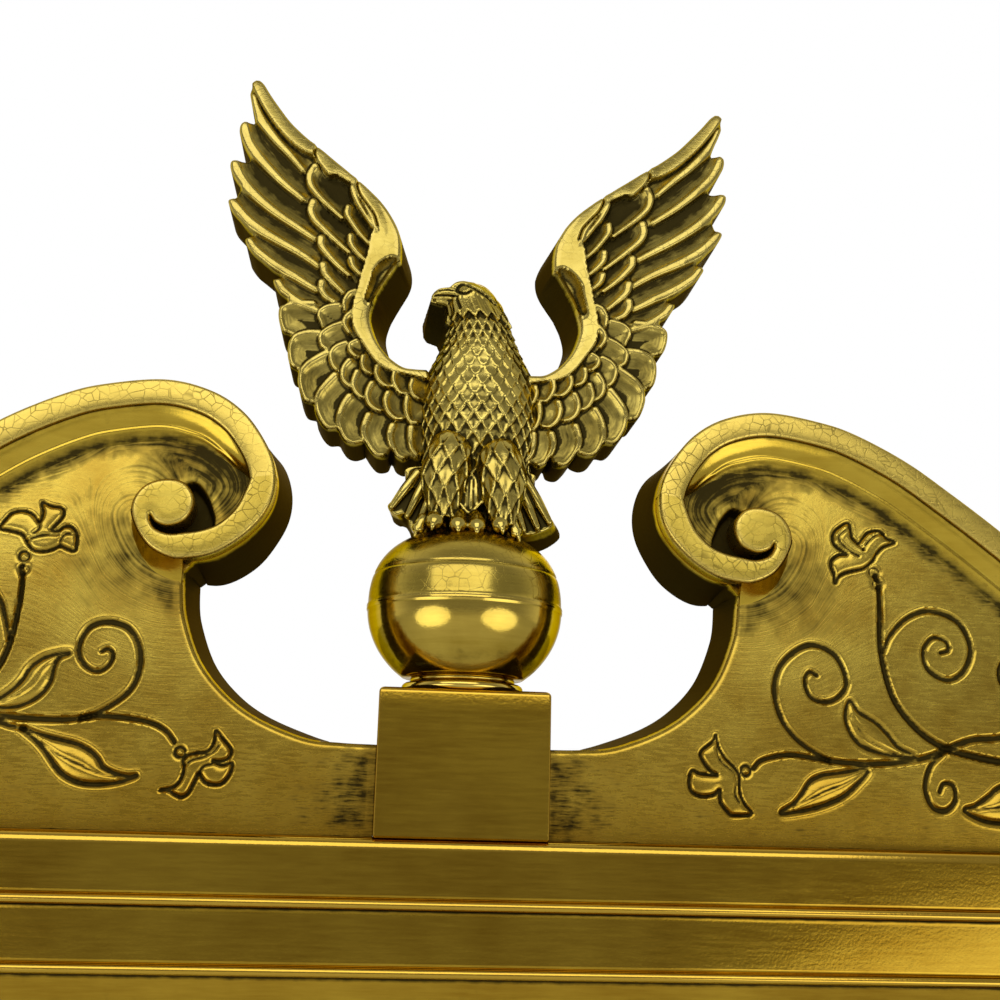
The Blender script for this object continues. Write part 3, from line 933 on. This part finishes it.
def wing_shape(x, z):
    """Height of the wing's front, its tone (1 is bright) and the run of its brush marks."""
    height, tone, flow = np.zeros(x.shape), np.zeros(x.shape), np.column_stack([x, z])
    index = 0
    for lines, rise, lift, wide, reach, fade, glow in ROWS:
        for line in lines:
            up, bright, along = feather(x, z, line, rise, lift, wide, reach, fade)
            index += 1
            over = up > height
            flow[over] = along[over] + (0, 30 * index)
            tone = np.where(over, np.maximum(bright, np.maximum(glow, 0.35 * (index == 1)) * (up > 0.25)), tone)
            height = np.maximum(height, up)
    dist, side, _ = near_line(x, z, band_line, 60.0)
    on_band = (side > 0) & (dist < 59)
    flow[on_band] = np.column_stack([x, z])[on_band]
    plateau = 2.7 - 0.35 * unit(dist / 4) ** 2
    slope = plateau * unit(1 - dist / 0.7) * (dist < 59)
    tone = np.where(on_band, 1.0, np.maximum(tone, 0.9 * unit(1 - dist / 1.4)))
    height = np.where(on_band, np.maximum(height * 0.3, plateau), np.maximum(height, slope))
    for line in PARTING:
        dist, side, _ = near_line(x, z, smooth_line(line, 0.5), 4.0)
        height -= 0.9 * unit(1 - dist / 0.5)
        height += np.where(side < 0, 0.45 * unit(1 - dist / 2.5), 0)
    dist, hole = loop_gap(x, z, scoop_loop, 4.0), inside(x, z, scoop_loop)
    height -= np.where(hole, 2.2 * unit(dist / 1.5) ** 0.7, 0)
    height += np.where(hole, 0, 0.4 * unit(1 - dist / 0.9))
    edge = loop_gap(x, z, wing_loop, 4.0)
    height -= 0.6 * unit(1 - edge / 0.7) ** 2
    height += 0.5 * unit(edge / 4.0)
    return height, np.where(hole, 0.52, tone), flow


wing = relief(wing_loop, WING_PITCH, lambda x, z: wing_shape(x, z)[0], WING_FRONT, wing_back, WING_BACK)
_, front_tone, front_flow = wing_shape(wing.verts[:wing.front, 0], wing.verts[:wing.front, 2])
wing_dirt = wing.hollows()
wing_dirt[:wing.front] = np.maximum(0.9 * wing_dirt[:wing.front], 1.04 - 1.38 * front_tone)
wing_dirt[wing.front:] = 1.05
wing_dirt[:wing.rim] = np.minimum(wing_dirt[:wing.rim], 0.2)
wing_flow = wing.verts[:, [0, 2, 1]]
wing_flow[:wing.front, :2] = front_flow
wing_flow *= 0.001

# The right wing is a mirror image, with its throat's wall and its tip a little further out.
wing_right = wing.mirrored()
x, y, z = wing_right.verts.T
throat = unit((y - WING_FRONT) / (WING_BACK - WING_FRONT)) * (np.arange(len(y)) >= wing.front)
throat *= unit((154 - z) / 12) * unit((z - 116) / 4) * (x < 30)
wing_right.verts[:, 0] += 2.0 * throat
wing_right.verts[:, 0] += 4.5 * unit((z - 163) / 38) ** 1.2
for name, form in (("left", wing), ("right", wing_right)):
    add_piece(f"eagle_wing_{name}", "cast", form, GILT_WING, wing_dirt, 60, wing_flow)

# ---------------------------------------------------------------- eagle body
# Elliptical sections of the trunk and of a thigh: height, middle and half width across, middle and half depth.
BODY = np.array([(84, 1.6, 9, -23, 8), (90, 1.6, 12.5, -23.5, 8.6), (96, 1.6, 14.2, -24.2, 9.6),
                 (101, 1.6, 14.7, -25, 11.4), (106, 1.7, 15.0, -25.5, 12.2), (113, 1.7, 14.8, -25.2, 12.2),
                 (119, 1.8, 14, -25, 11.5), (123, 1.7, 12, -25.5, 10.6), (127, 1.5, 9.8, -26, 9.6),
                 (131, 1.2, 8.4, -26.5, 9.2), (134, 0.6, 7.6, -27, 8.4), (138, -0.8, 7.2, -27.3, 7.4),
                 (142, -1.8, 6.0, -27.5, 6.4), (144.6, -2.4, 3.0, -27.5, 3.6)])
THIGH = np.array([(103.0, 5.5, 0.6, -31.8, 0.6), (102.1, 5.5, 2.9, -32.0, 2.8), (100.4, 5.6, 4.4, -32.3, 4.3),
                  (97.5, 5.8, 5.3, -32.7, 5.2), (94.0, 6.3, 5.7, -32.9, 5.4), (90.5, 6.9, 5.6, -32.9, 5.2),
                  (87.5, 7.2, 5.0, -32.9, 4.8), (84.5, 7.2, 4.2, -32.9, 4.2), (81.5, 7.1, 3.3, -32.9, 3.6),
                  (78.5, 7.0, 2.8, -32.9, 3.2)])
EAGLE_BACK = -13.2
THIGH_BACK = -20.0
EAGLE_VOXEL = 0.27


def plumage(angle, z, columns, rows, first, pitch, drop, power, rise, fade):
    """Height of overlapping feathers, upper rows over lower ones, each drawn down to a point."""
    height = np.zeros(angle.shape)
    free = np.ones(angle.shape, bool)
    for row in range(rows):
        part = np.abs((angle / (2 * np.pi) * columns + 0.5 * (row % 2)) % 1 - 0.5) * 2
        edge = first - row * pitch - drop * (1 - part ** power)
        here = free & (z >= edge)
        if row:
            height[here] = (rise * np.exp(-(z - edge) / fade) * (1 - 0.4 * part ** 2))[here]
        free &= ~here
    return height


def lofted(levels, rows, columns, bump, back):
    """A closed form through elliptical sections, raised by bump(angle from the front, z)."""
    levels = smooth_line(levels, 0.2)
    levels = levels[np.argsort(levels[:, 0])]
    z = np.linspace(levels[0, 0], levels[-1, 0], rows)
    cx, rx, cy, ry = [np.interp(z, levels[:, 0], levels[:, k])[:, None] for k in (1, 2, 3, 4)]
    turn = np.linspace(0, 2 * np.pi, columns, endpoint=False)[None, :]
    off = (turn + np.pi / 2 + np.pi) % (2 * np.pi) - np.pi
    up = bump(off + 0 * cx, z[:, None] + 0 * turn)
    across = np.hypot(np.cos(turn) / rx, np.sin(turn) / ry)
    x = cx + rx * np.cos(turn) + up * np.cos(turn) / rx / across
    y = np.minimum(cy + ry * np.sin(turn) + up * np.sin(turn) / ry / across, back)
    return sweep(np.dstack([x, y, z[:, None] + 0 * turn]))


def chest_bump(angle, z):
    height = plumage(angle, z, 24, 18, 135.0, 2.62, 2.8, np.interp(z, (103, 112), (1.0, 2.1)), 1.0, 1.7)
    height = height * np.interp(z, (90, 104, 108, 112, 123, 127), (1.1, 1.1, 0.95, 0.6, 0.62, 1.15))
    ragged = 132.4 + 2.2 * (np.abs((angle / (2 * np.pi) * 17) % 1 - 0.5) * 2)
    strokes = 0.09 * np.sin(angle * 46) + 0.05 * np.sin(angle * 83 + z * 2)
    return np.where(z >= ragged, 1.5 * np.exp(-(z - ragged) / 7) + strokes, height)


def thigh_bump(angle, z):
    return plumage(angle, z, 8, 6, 101.4, 3.9, 4.6, 1.15, 1.1, 3.0)


# trunk, head, beak, brow and eye
body = lofted(BODY, 260, 300, chest_bump, EAGLE_BACK)
body += ellipsoid((-1.0, -27.3, 138.7), (6.8, 6.6, 6.8), 40, 26)
body += ellipsoid((2.4, -26.6, 136.6), (5.6, 6.4, 5.8), 32, 20)
body += rod([(-5.0, -30.8, 140.2), (-8.2, -31.4, 140.6), (-10.6, -31.5, 140.2), (-11.8, -31.4, 139.2)], 0.4,
            [2.6, 2.0, 1.5, 0.6], 18)
body += rod([(-5.0, -30.4, 138.3), (-8.0, -30.8, 138.6), (-10.8, -30.9, 138.6)], 0.4, [1.5, 1.1, 0.5], 14)
body += rod([(-7.2, -32.3, 141.9), (-5.4, -32.4, 143.2), (-3.0, -32.2, 143.4), (-0.6, -32.2, 142.4),
             (2.2, -31.6, 140.6), (4.8, -30.6, 138.6), (6.8, -29.4, 136.2)], 0.4,
            [0.5, 0.8, 0.9, 0.85, 0.8, 0.5], 12)
body += ellipsoid((-3.7, -32.2, 141.1), (0.95, 0.9, 0.85))
body += slab([(-12.2, 140), (-12.4, 138.9), (-9, 138.0), (-5.8, 137.0), (-5.2, 133), (-5.5, 129.5), (0, 129),
              (0, 141), (-6, 142)], -29.8,
             [(-14.0, 138.4), (-13.6, 134.8), (-12.6, 133.3), (-9.8, 132.4), (-8.8, 130.4), (-8.6, 127.5),
              (0, 125), (0, 138), (-6, 140)], EAGLE_BACK)

# thighs: the right one hangs a little lower
for side, drop, shift in ((-1, 0.0, 0.0), (1, 1.3, 1.1)):
    body += lofted(THIGH * (1, side, 1, 1, 1) + (-drop, shift, 0, 0, 0), 130, 150,
                   lambda angle, z: thigh_bump(angle, z + drop), THIGH_BACK)

# toes with their joints and claws
for x, z, spread in ((-9.1, 77.2, -0.9), (-3.5, 76.6, 0.3), (1.6, 76.4, -0.3), (7.2, 77.0, 0.9),
                     (-13.0, 75.6, -1.2), (11.4, 75.6, 1.2)):
    small = abs(x) > 10
    thick = 1.5 if small else 2.0
    knee = np.array((x * 0.9, -32.6, z + 3.0))
    tip = np.array((x + spread * 0.4, -36.4 + 2.2 * small, z - 0.6))
    body += rod([(x * 0.8, -27.5, z - 0.5), knee, tip], 0.4, [thick * 1.1, thick, thick * 0.85], 16)
    for share in (0.2, 0.5, 0.8):
        body += ellipsoid(knee * (1 - share) + tip * share, (thick * 1.18, thick * 0.9, thick * 1.12))
    body += rod([tip, tip + (spread * 0.3, -0.9, -0.9), tip + (spread * 0.5, -0.9, -2.1)], 0.3,
                [thick * 0.55, thick * 0.42, 0.25], 12)

# the short feathers between the legs
tuft = [(-4.2, 84.4), (-2.4, 82.4), (-0.4, 80.6), (1.9, 82.6), (4.2, 84.8), (2.8, 92.0), (-2.2, 92.0)]
body += slab(tuft, -32.2, tuft, -22.0)
for x, low in ((-2.6, 83.4), (-1.3, 82.2), (0.0, 81.2), (1.4, 82.4), (2.8, 83.8)):
    body += rod([(x, -32.2, low), (x * 0.9, -32.4, low + 4), (x * 0.7, -31.8, 92.0)], 0.5,
                [0.55, 0.65, 0.5], 10)
body += rod([(-4.2, -32.2, 84.6), (-2.4, -32.4, 82.4), (-0.4, -32.4, 80.6), (1.9, -32.4, 82.6),
             (4.2, -32.2, 85.0)], 0.4, [0.6, 0.6, 0.6], 10)

# the tail's fan behind the legs
FAN_FRONT = [(-14.6, 94.0), (-16.2, 90.1), (-17.4, 87.0), (-19.4, 84.8), (-21.2, 83.2), (-20.8, 81.8),
             (-18.6, 80.4), (-16.8, 81.2), (-15.6, 79.4), (-14.4, 76.6), (-9.0, 75.0), (-4.0, 74.6),
             (0.6, 74.6), (5.0, 74.8), (9.6, 75.4), (14.0, 76.6), (18.3, 77.6), (21.4, 79.1), (22.2, 80.7),
             (19.8, 83.5), (17.2, 86.8), (16.0, 90.0), (15.0, 94.0)]
FAN_BACK = [(-14.0, 93.0), (-15.4, 89.0), (-16.4, 86.4), (-18.0, 84.4), (-19.6, 82.8), (-19.4, 81.6),
            (-17.6, 80.4), (-16.0, 80.4), (-14.8, 78.6), (-13.6, 76.0), (-9.0, 74.8), (-4.0, 74.2),
            (0.6, 74.0), (5.0, 74.2), (9.6, 74.8), (14.4, 75.0), (20.0, 75.2), (25.1, 78.4), (25.6, 81.0),
            (22.4, 86.0), (19.6, 90.0), (18.0, 92.0), (16.0, 93.0)]
fan_front = smooth_line(FAN_FRONT, 1.0, closed=True)
share = np.linspace(0, 1, len(fan_front), endpoint=False)
fan_back = smooth_line(FAN_BACK, 0.2, closed=True)
fan_back = fan_back[(share * len(fan_back)).astype(int)]
body += slab(fan_front, -26.4, fan_back, EAGLE_BACK, rings=6)
for tip, root in (((-20.2, 82.4), (-13.5, 92.0)), ((-16.0, 80.2), (-11.5, 90.0)), ((-13.0, 78.4), (-9.0, 88.0)),
                  ((21.2, 80.2), (13.8, 92.0)), ((18.0, 78.6), (12.4, 90.0)), ((14.4, 77.8), (10.0, 88.0))):
    middle = ((tip[0] + root[0]) / 2 * 1.02, -27.4, (tip[1] + root[1]) / 2 - 0.4)
    body += rod([(tip[0], -26.8, tip[1]), middle, (root[0], -27.4, root[1])], 0.5, [0.9, 1.4, 1.6], 12)

eagle = fused(body, EAGLE_VOXEL)
# Fine cuts in the face: half width, depth and line.
CUTS = [
    (0.3, 0.6, [(-11.4, 139.5), (-9.4, 139.5), (-6.8, 139.5), (-5.4, 139.2)]),
    (0.3, 0.5, [(-10.2, 141.0), (-8.4, 141.2), (-6.6, 141.0)]),
    (0.6, 0.9,
     [(-5.7, 141.2), (-4.8, 142.3), (-3.4, 142.6), (-2.0, 141.9), (0.2, 140.7), (2.6, 139.2), (4.6, 137.6)]),
    (0.45, 0.7, [(-5.4, 140.6), (-4.4, 139.9), (-3.2, 139.8), (-2.0, 140.6)]),
    (0.35, 0.5, [(-5.6, 138.6), (-5.2, 137.2), (-4.6, 135.6)]),
]
vx, vz = eagle.verts[:, 0], eagle.verts[:, 2]
facing = unit(-eagle.normals()[:, 1])
eagle_cut = np.zeros(len(eagle.verts))
for wide, deep, line in CUTS:
    dist = gap(vx, vz, smooth_line(line, 0.4), 2.0)
    on_face = (facing > 0.25) * (eagle.verts[:, 1] < -25)
    eagle_cut = np.maximum(eagle_cut, 0.95 * unit(1.3 - dist / wide) * on_face)
    eagle.verts += eagle.normals() * (groove(dist, wide, deep) * (dist < 2.0) * on_face)[:, None]
vy = eagle.verts[:, 1]
wall = unit((vy + 24) / 4) * 1.05
wall = np.maximum(wall, unit((vy + 29.6) / 1.2) * (vz > 124) * (vx < -4.5) * 0.95)
sunk = 0.55 * unit((vy + 34) / 5) * unit((106 - vz) / 6)
sunk = np.maximum(sunk, 0.4 * unit((np.abs(vx - 1.7) - 10.5) / 4) * (vz < 122))
gain = np.interp(vz, (98, 110, 117, 121, 127, 130, 136), (2.7, 2.3, 2.0, 1.1, 1.1, 2.6, 2.6))
eagle_dirt = np.maximum(eagle.hollows() * gain + sunk, np.maximum(wall, eagle_cut))
add_piece("eagle_body", "cast", eagle, GILT_CAST, eagle_dirt, 75)

# ---------------------------------------------------------------- ball and its neck
AXIS = (0.0, -21.5)
BALL_BACK = -1.0        # the ball is cut flat there, clear of the wall
MIDDLE_UP = 57.0        # height of the line between its halves
CROWN_WIDE, CROWN_TALL = 25.0, 20.6
BOWL_WIDE, BOWL_TALL = 25.1, 22.4
BOWL_CUT = 17.6         # how far below the line the neck meets the bowl
TINY = 0.01             # radius where a turned form is closed


def lathe(profile, steps):
    """A turned form from (radius, z) pairs, bottom to top, cut flat at the back."""
    turn = np.linspace(0, 2 * np.pi, steps, endpoint=False)
    rings = [np.column_stack([AXIS[0] + r * np.cos(turn), AXIS[1] + r * np.sin(turn), np.full(steps, z)])
             for r, z in profile]
    form = sweep(np.array(rings)[::-1])
    form.verts[:, 1] = np.minimum(form.verts[:, 1], BALL_BACK)
    return form


low = [(BOWL_WIDE * math.cos(a), MIDDLE_UP - BOWL_TALL * math.sin(a))
       for a in np.linspace(math.asin(BOWL_CUT / BOWL_TALL), 0.06, 30)]
low = [(TINY, low[0][1])] + low + [(25.05, 55.9), (25.25, 56.2), (25.3, 56.6), (25.25, MIDDLE_UP)]
ball = lathe(low + [(TINY, MIDDLE_UP)], 160)
dirt = ball.hollows() * 0.5 + 0.6 * unit((47.5 - ball.verts[:, 2]) / 6)
add_piece("ball_lower", "turned", ball, GILT_BALL, dirt, 50)

crown = [(CROWN_WIDE * (1 - (h / CROWN_TALL) ** 2.5) ** 0.4, MIDDLE_UP + h)
         for h in CROWN_TALL * np.sin(np.linspace(0.04, math.pi / 2, 60))]
crown = [(r - 0.3 * math.exp(-((z - 65.5) / 0.3) ** 2), z) for r, z in crown[:-1]]
equator = [(TINY, MIDDLE_UP), (25.25, MIDDLE_UP), (25.3, 57.3), (25.2, 57.7), (25.0, 58.0)]
ball = lathe(equator + [p for p in crown if p[1] > 58.4] + [(TINY, 77.6)], 160)
dirt = ball.hollows() * 0.5 + 0.5 * unit(1.4 - np.abs(ball.verts[:, 2] - 60.0) / 2.0)
add_piece("ball_upper", "turned", ball, GILT_CROWN, dirt, 50)

rings = [(TINY, 35.5)]
for start, tall, radius in ((35.5, 2.4, 15.5), (37.9, 1.6, 13.4), (39.5, 2.0, 14.8)):
    half = tall / 2
    rings += [(radius - half + half * math.cos(a), start + half + half * math.sin(a))
              for a in np.linspace(-1.5, 1.5, 9)]
ball = lathe(rings + [(TINY, 41.5)], 128)
add_piece("ball_neck", "turned", ball, GILT_BALL, ball.hollows() * 1.5 + 0.15, 50)


# ---------------------------------------------------------------- plinth and frame
def rounded_block(x, y, z, corner, edge):
    """A block between two corners with rounded upright corners and softened top edges."""
    rings = []
    levels = [(z[0], 0.4), (z[0] + 0.4, 0.0)] + [(at, 0.0) for at in np.linspace(z[0] + 1, z[1] - edge, 8)]
    levels += [(z[1] - edge + edge * math.sin(a), edge - edge * math.cos(a))
               for a in np.linspace(0.2, math.pi / 2, 8)]
    for level, inset in levels:
        loop = []
        for cx, cy, start in ((x[1], y[0], -90), (x[1], y[1], 0), (x[0], y[1], 90), (x[0], y[0], 180)):
            cx -= math.copysign(corner + inset, cx - sum(x) / 2)
            cy -= math.copysign(corner + inset, cy - sum(y) / 2)
            loop += [(cx + corner * math.cos(math.radians(a)), cy + corner * math.sin(math.radians(a)), level)
                     for a in np.linspace(start, start + 90, 7)]
        rings.append(loop)
    return sweep(np.array(rings))


low, high = [v * 1000 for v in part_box("plinth_block")]
top = high.z - RAIL_TOP
plinth = rounded_block((low.x, high.x), (low.y, high.y), (low.z - RAIL_TOP, top), 0.6, 1.3)
x, _, z = plinth.verts.T
dirt = np.where(z > top - 0.02, 0.9, -0.8 * ((np.abs(x) > high.x - 0.35) | (z > top - 1.2)))
add_piece("plinth_block", "bevelled", plinth, GILT_RAIL, dirt, 35)


def arc(inset, depth, radius, start, end, steps):
    return [(inset - radius * math.cos(math.radians(a)), depth - radius * math.sin(math.radians(a)))
            for a in np.linspace(start, end, steps)]


# The frame's section: inset from its outer edge, and depth.
RAIL = [(0.0, -6.0), (0.0, -7.0), (0.0, -20.0), (0.0, -34.6)] + arc(2.3, -34.7, 2.3, 8, 90, 8)
RAIL += [(2.8, -37.0), (6.0, -37.0), (12.8, -37.0), (13.2, -37.0), (13.7, -36.7)]
RAIL += arc(15.0, -36.9, 1.15, 10, 175, 10)
RAIL += [(16.2, -35.6), (16.6, -34.6), (17.2, -34.5), (17.7, -34.5), (24.0, -34.5), (28.1, -34.5),
         (28.6, -34.5), (29.0, -34.2)] + arc(30.3, -34.2, 1.2, 10, 175, 10)
RAIL += [(31.6, -32.0), (32.0, -30.7), (33.0, -30.4), (33.5, -30.23), (39.0, -28.3), (43.9, -26.67),
         (44.4, -26.5), (45.0, -26.0), (45.0, -12.2), (39.0, -12.2), (39.0, -6.0)]
TALL, HALF = 520.0, 200.0      # the frame's height and half its width
RAIL_STEPS = 9
# The two corners that each side runs between: left or right, and top or bottom.
ENDS = {"top_rail": [(-1, 0), (1, 0)], "bottom_rail": [(1, 1), (-1, 1)], "left_stile": [(-1, 1), (-1, 0)],
        "right_stile": [(1, 0), (1, 1)]}


def rail_dirt(inset, depth):
    """Dirt in the two steps, bright gold on the rounded edge and the two beads."""
    if 16.2 <= inset <= 16.7 or 31.5 <= inset <= 32.2:
        return 0.9
    edge = 0.3 < inset < 2.6 and depth < -35
    beads = abs(inset - 15.0) < 1.2 and depth < -37.2 or abs(inset - 30.3) < 1.2 and depth < -34.6
    return -0.8 if edge or beads else 0.0


for name, corners in ENDS.items():
    stations = []
    for share in np.linspace(0, 1, RAIL_STEPS):
        loop = []
        for inset, depth in RAIL:
            (ax, az), (bx, bz) = [(sx * (HALF - inset), -inset - sz * (TALL - 2 * inset)) for sx, sz in corners]
            loop.append((ax * (1 - share) + bx * share, depth, az * (1 - share) + bz * share))
        stations.append(loop)
    rail = sweep(np.array(stations))
    dirt = np.zeros(len(rail.verts))
    dirt[:RAIL_STEPS * len(RAIL)] = [rail_dirt(*at) for at in RAIL] * RAIL_STEPS
    add_piece(name, "moulded", rail, GILT_RAIL, dirt, 38)


# ---------------------------------------------------------------- CAD nodes that stay
def plain(name, colour, stops, rough, span, bump=None, **values):
    """A mottled material: noise for its colour, its roughness and, where given, its bumps."""
    s = Shader(name, **values)
    s.put("Base Color", s.ramp(s.noise(*colour), stops))
    s.put("Roughness", s.span(s.noise(*rough), *span))
    if bump:
        s.put("Normal", s.bump(s.noise(*bump[0]), *bump[1:]))
    return s.mat


def metal(name, light, dark, rough, scale):
    return plain(name, (scale, 4.0), [(0.35, dark), (0.65, light)], (scale * 6, 3.0),
                 (0.3, 0.7, rough * 0.8, rough * 1.25),
                 ((1.0, 3.0, (200.0, 200.0, 2200.0)), 0.00005, 0.4), Metallic=1.0)


KINDS = {
    "gilt_wood": GILT_RAIL,
    "gilt_casting": GILT_CAST,
    "zinc_steel": metal("zinc_steel_worn", (0.62, 0.63, 0.64), (0.42, 0.43, 0.45), 0.36, 180.0),
    "brass": metal("brass_worn", (0.66, 0.49, 0.20), (0.46, 0.31, 0.10), 0.33, 160.0),
    "mirror": plain("mirror_silvered", (9.0, 4.0), [(0.3, (0.80, 0.82, 0.82)), (0.7, (0.87, 0.88, 0.88))],
                    (30.0, 4.0), (0.35, 0.75, 0.012, 0.05), Metallic=1.0),
    "hardboard": plain("hardboard_brown", (700.0, 5.0),
                       [(0.3, (0.13, 0.068, 0.032)), (0.7, (0.24, 0.14, 0.072))],
                       (1100.0, 3.0), (0.3, 0.7, 0.62, 0.82), ((2600.0, 3.0), 0.0002, 0.4)),
    "felt": plain("felt_green", (1900.0, 4.0), [(0.3, (0.02, 0.05, 0.03)), (0.7, (0.05, 0.10, 0.06))],
                  (2500.0, 2.0), (0.3, 0.7, 0.9, 1.0), ((4200.0, 3.0), 0.0004, 0.7)),
    "dowel": plain("dowel_beech", (1.0, 4.0, (150.0, 1500.0, 1500.0)),
                   [(0.35, (0.40, 0.25, 0.12)), (0.65, (0.58, 0.40, 0.22))],
                   (900.0, 3.0), (0.3, 0.7, 0.5, 0.65)),
}
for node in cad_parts.values():
    for index, material in enumerate(node.data.materials):
        kind = material.name.split(".")[0]
        if kind in KINDS:
            node.data.materials[index] = KINDS[kind]

# ---------------------------------------------------------------- stage, light and camera
FLOOR_DOWN, FLOOR_HALF = -0.412, 3
floor, mesh = mesh_object("floor", [(x * FLOOR_HALF, y * FLOOR_HALF, FLOOR_DOWN)
                                    for x, y in ((-1, -1), (1, -1), (1, 1), (-1, 1))], [(0, 1, 2, 3)])
s = Shader("pale_floor", Roughness=0.75)
s.put("Base Color", s.ramp(s.noise(3.0, 3.0), [(0.3, (0.80, 0.80, 0.79)), (0.7, (0.83, 0.83, 0.82))]))
mesh.materials.append(s.mat)

# One plain studio, the same for the camera and for what metal and glass mirror: white behind the object,
# grey in front. The light that it sheds on matt things is FILL.
WHITE, GREY, FILL = 1.0, 0.30, 0.45
world = bpy.data.worlds.new("studio")
bpy.context.scene.world = world
world.use_nodes = True
n = Nodes(world.node_tree)
ray = n.add("LightPath").outputs
seen = n.math("MAXIMUM", ray["Is Camera Ray"], ray["Is Glossy Ray"])
seen = n.math("MAXIMUM", seen, ray["Is Transmission Ray"])
field = n.add("MapRange", {"Value": n.part(n.add("TexCoord").outputs["Generated"], "Y"), "From Min": -0.55,
                           "From Max": 0.45, "To Min": GREY, "To Max": WHITE}, interpolation_type="SMOOTHSTEP")
level = n.add("Mix", {"Factor": seen, "A": FILL, "B": field.outputs["Result"]})
background = n.add("Background", {0: (1.0, 1.0, 1.0, 1.0), 1: level.outputs["Result"]})
n.add("OutputWorld", {0: background.outputs[0]})


def softbox(name, at, aim, wide, tall, level, shape="RECTANGLE", spread=180.0):
    """A plain soft studio lamp of the given mean brightness, where 1 is white; the metal shows it."""
    data = bpy.data.lights.new(name, "AREA")
    data.shape, data.size, data.size_y = shape, wide, tall
    data.spread = math.radians(spread)
    data.energy = level * math.pi * wide * tall * (1.0 if shape == "RECTANGLE" else math.pi / 4)
    obj = bpy.data.objects.new(name, data)
    bpy.context.scene.collection.objects.link(obj)
    obj.location = at
    obj.rotation_mode = "QUATERNION"
    obj.rotation_quaternion = (Vector(aim) - Vector(at)).to_track_quat("-Z", "Y")
    obj.visible_camera = False


CREST = (0, -0.02, 0.2)
softbox("front", (-0.25, -1.5, 1.0), CREST, 2.2, 1.1, 1.7)
softbox("left", (-0.66, -0.74, -0.17), CREST, 0.80, 0.50, 0.6, "ELLIPSE", 110.0)
softbox("right", (0.60, -0.74, -0.17), CREST, 0.80, 0.50, 0.6, "ELLIPSE", 110.0)
softbox("rear", (0.5, 1.6, 1.1), (0, 0, 0), 1.2, 0.9, 1.2)

# The camera was fitted to the photograph.
data = bpy.data.cameras.new("camera")
data.lens, data.sensor_width = 45.47, 36.0
data.clip_start = 0.01
camera = bpy.data.objects.new("camera", data)
bpy.context.scene.collection.objects.link(camera)
yaw, pitch, roll = math.radians(-5.23), math.radians(14.15), math.radians(-1.5)
turn = (Matrix.Rotation(yaw, 3, "Z") @ Matrix.Rotation(pitch, 3, "X")
        @ Matrix(((math.cos(roll), 0, math.sin(roll)), (0, 1, 0), (-math.sin(roll), 0, math.cos(roll)))))
right, ahead, up = turn.col[0], turn.col[1], turn.col[2]
camera.matrix_world = (Matrix.Translation((-0.0212, -0.3455, 0.1151))
                       @ Matrix((right, up, -ahead)).transposed().to_4x4())
bpy.context.scene.camera = camera
bpy.context.scene.view_settings.view_transform = "Standard"
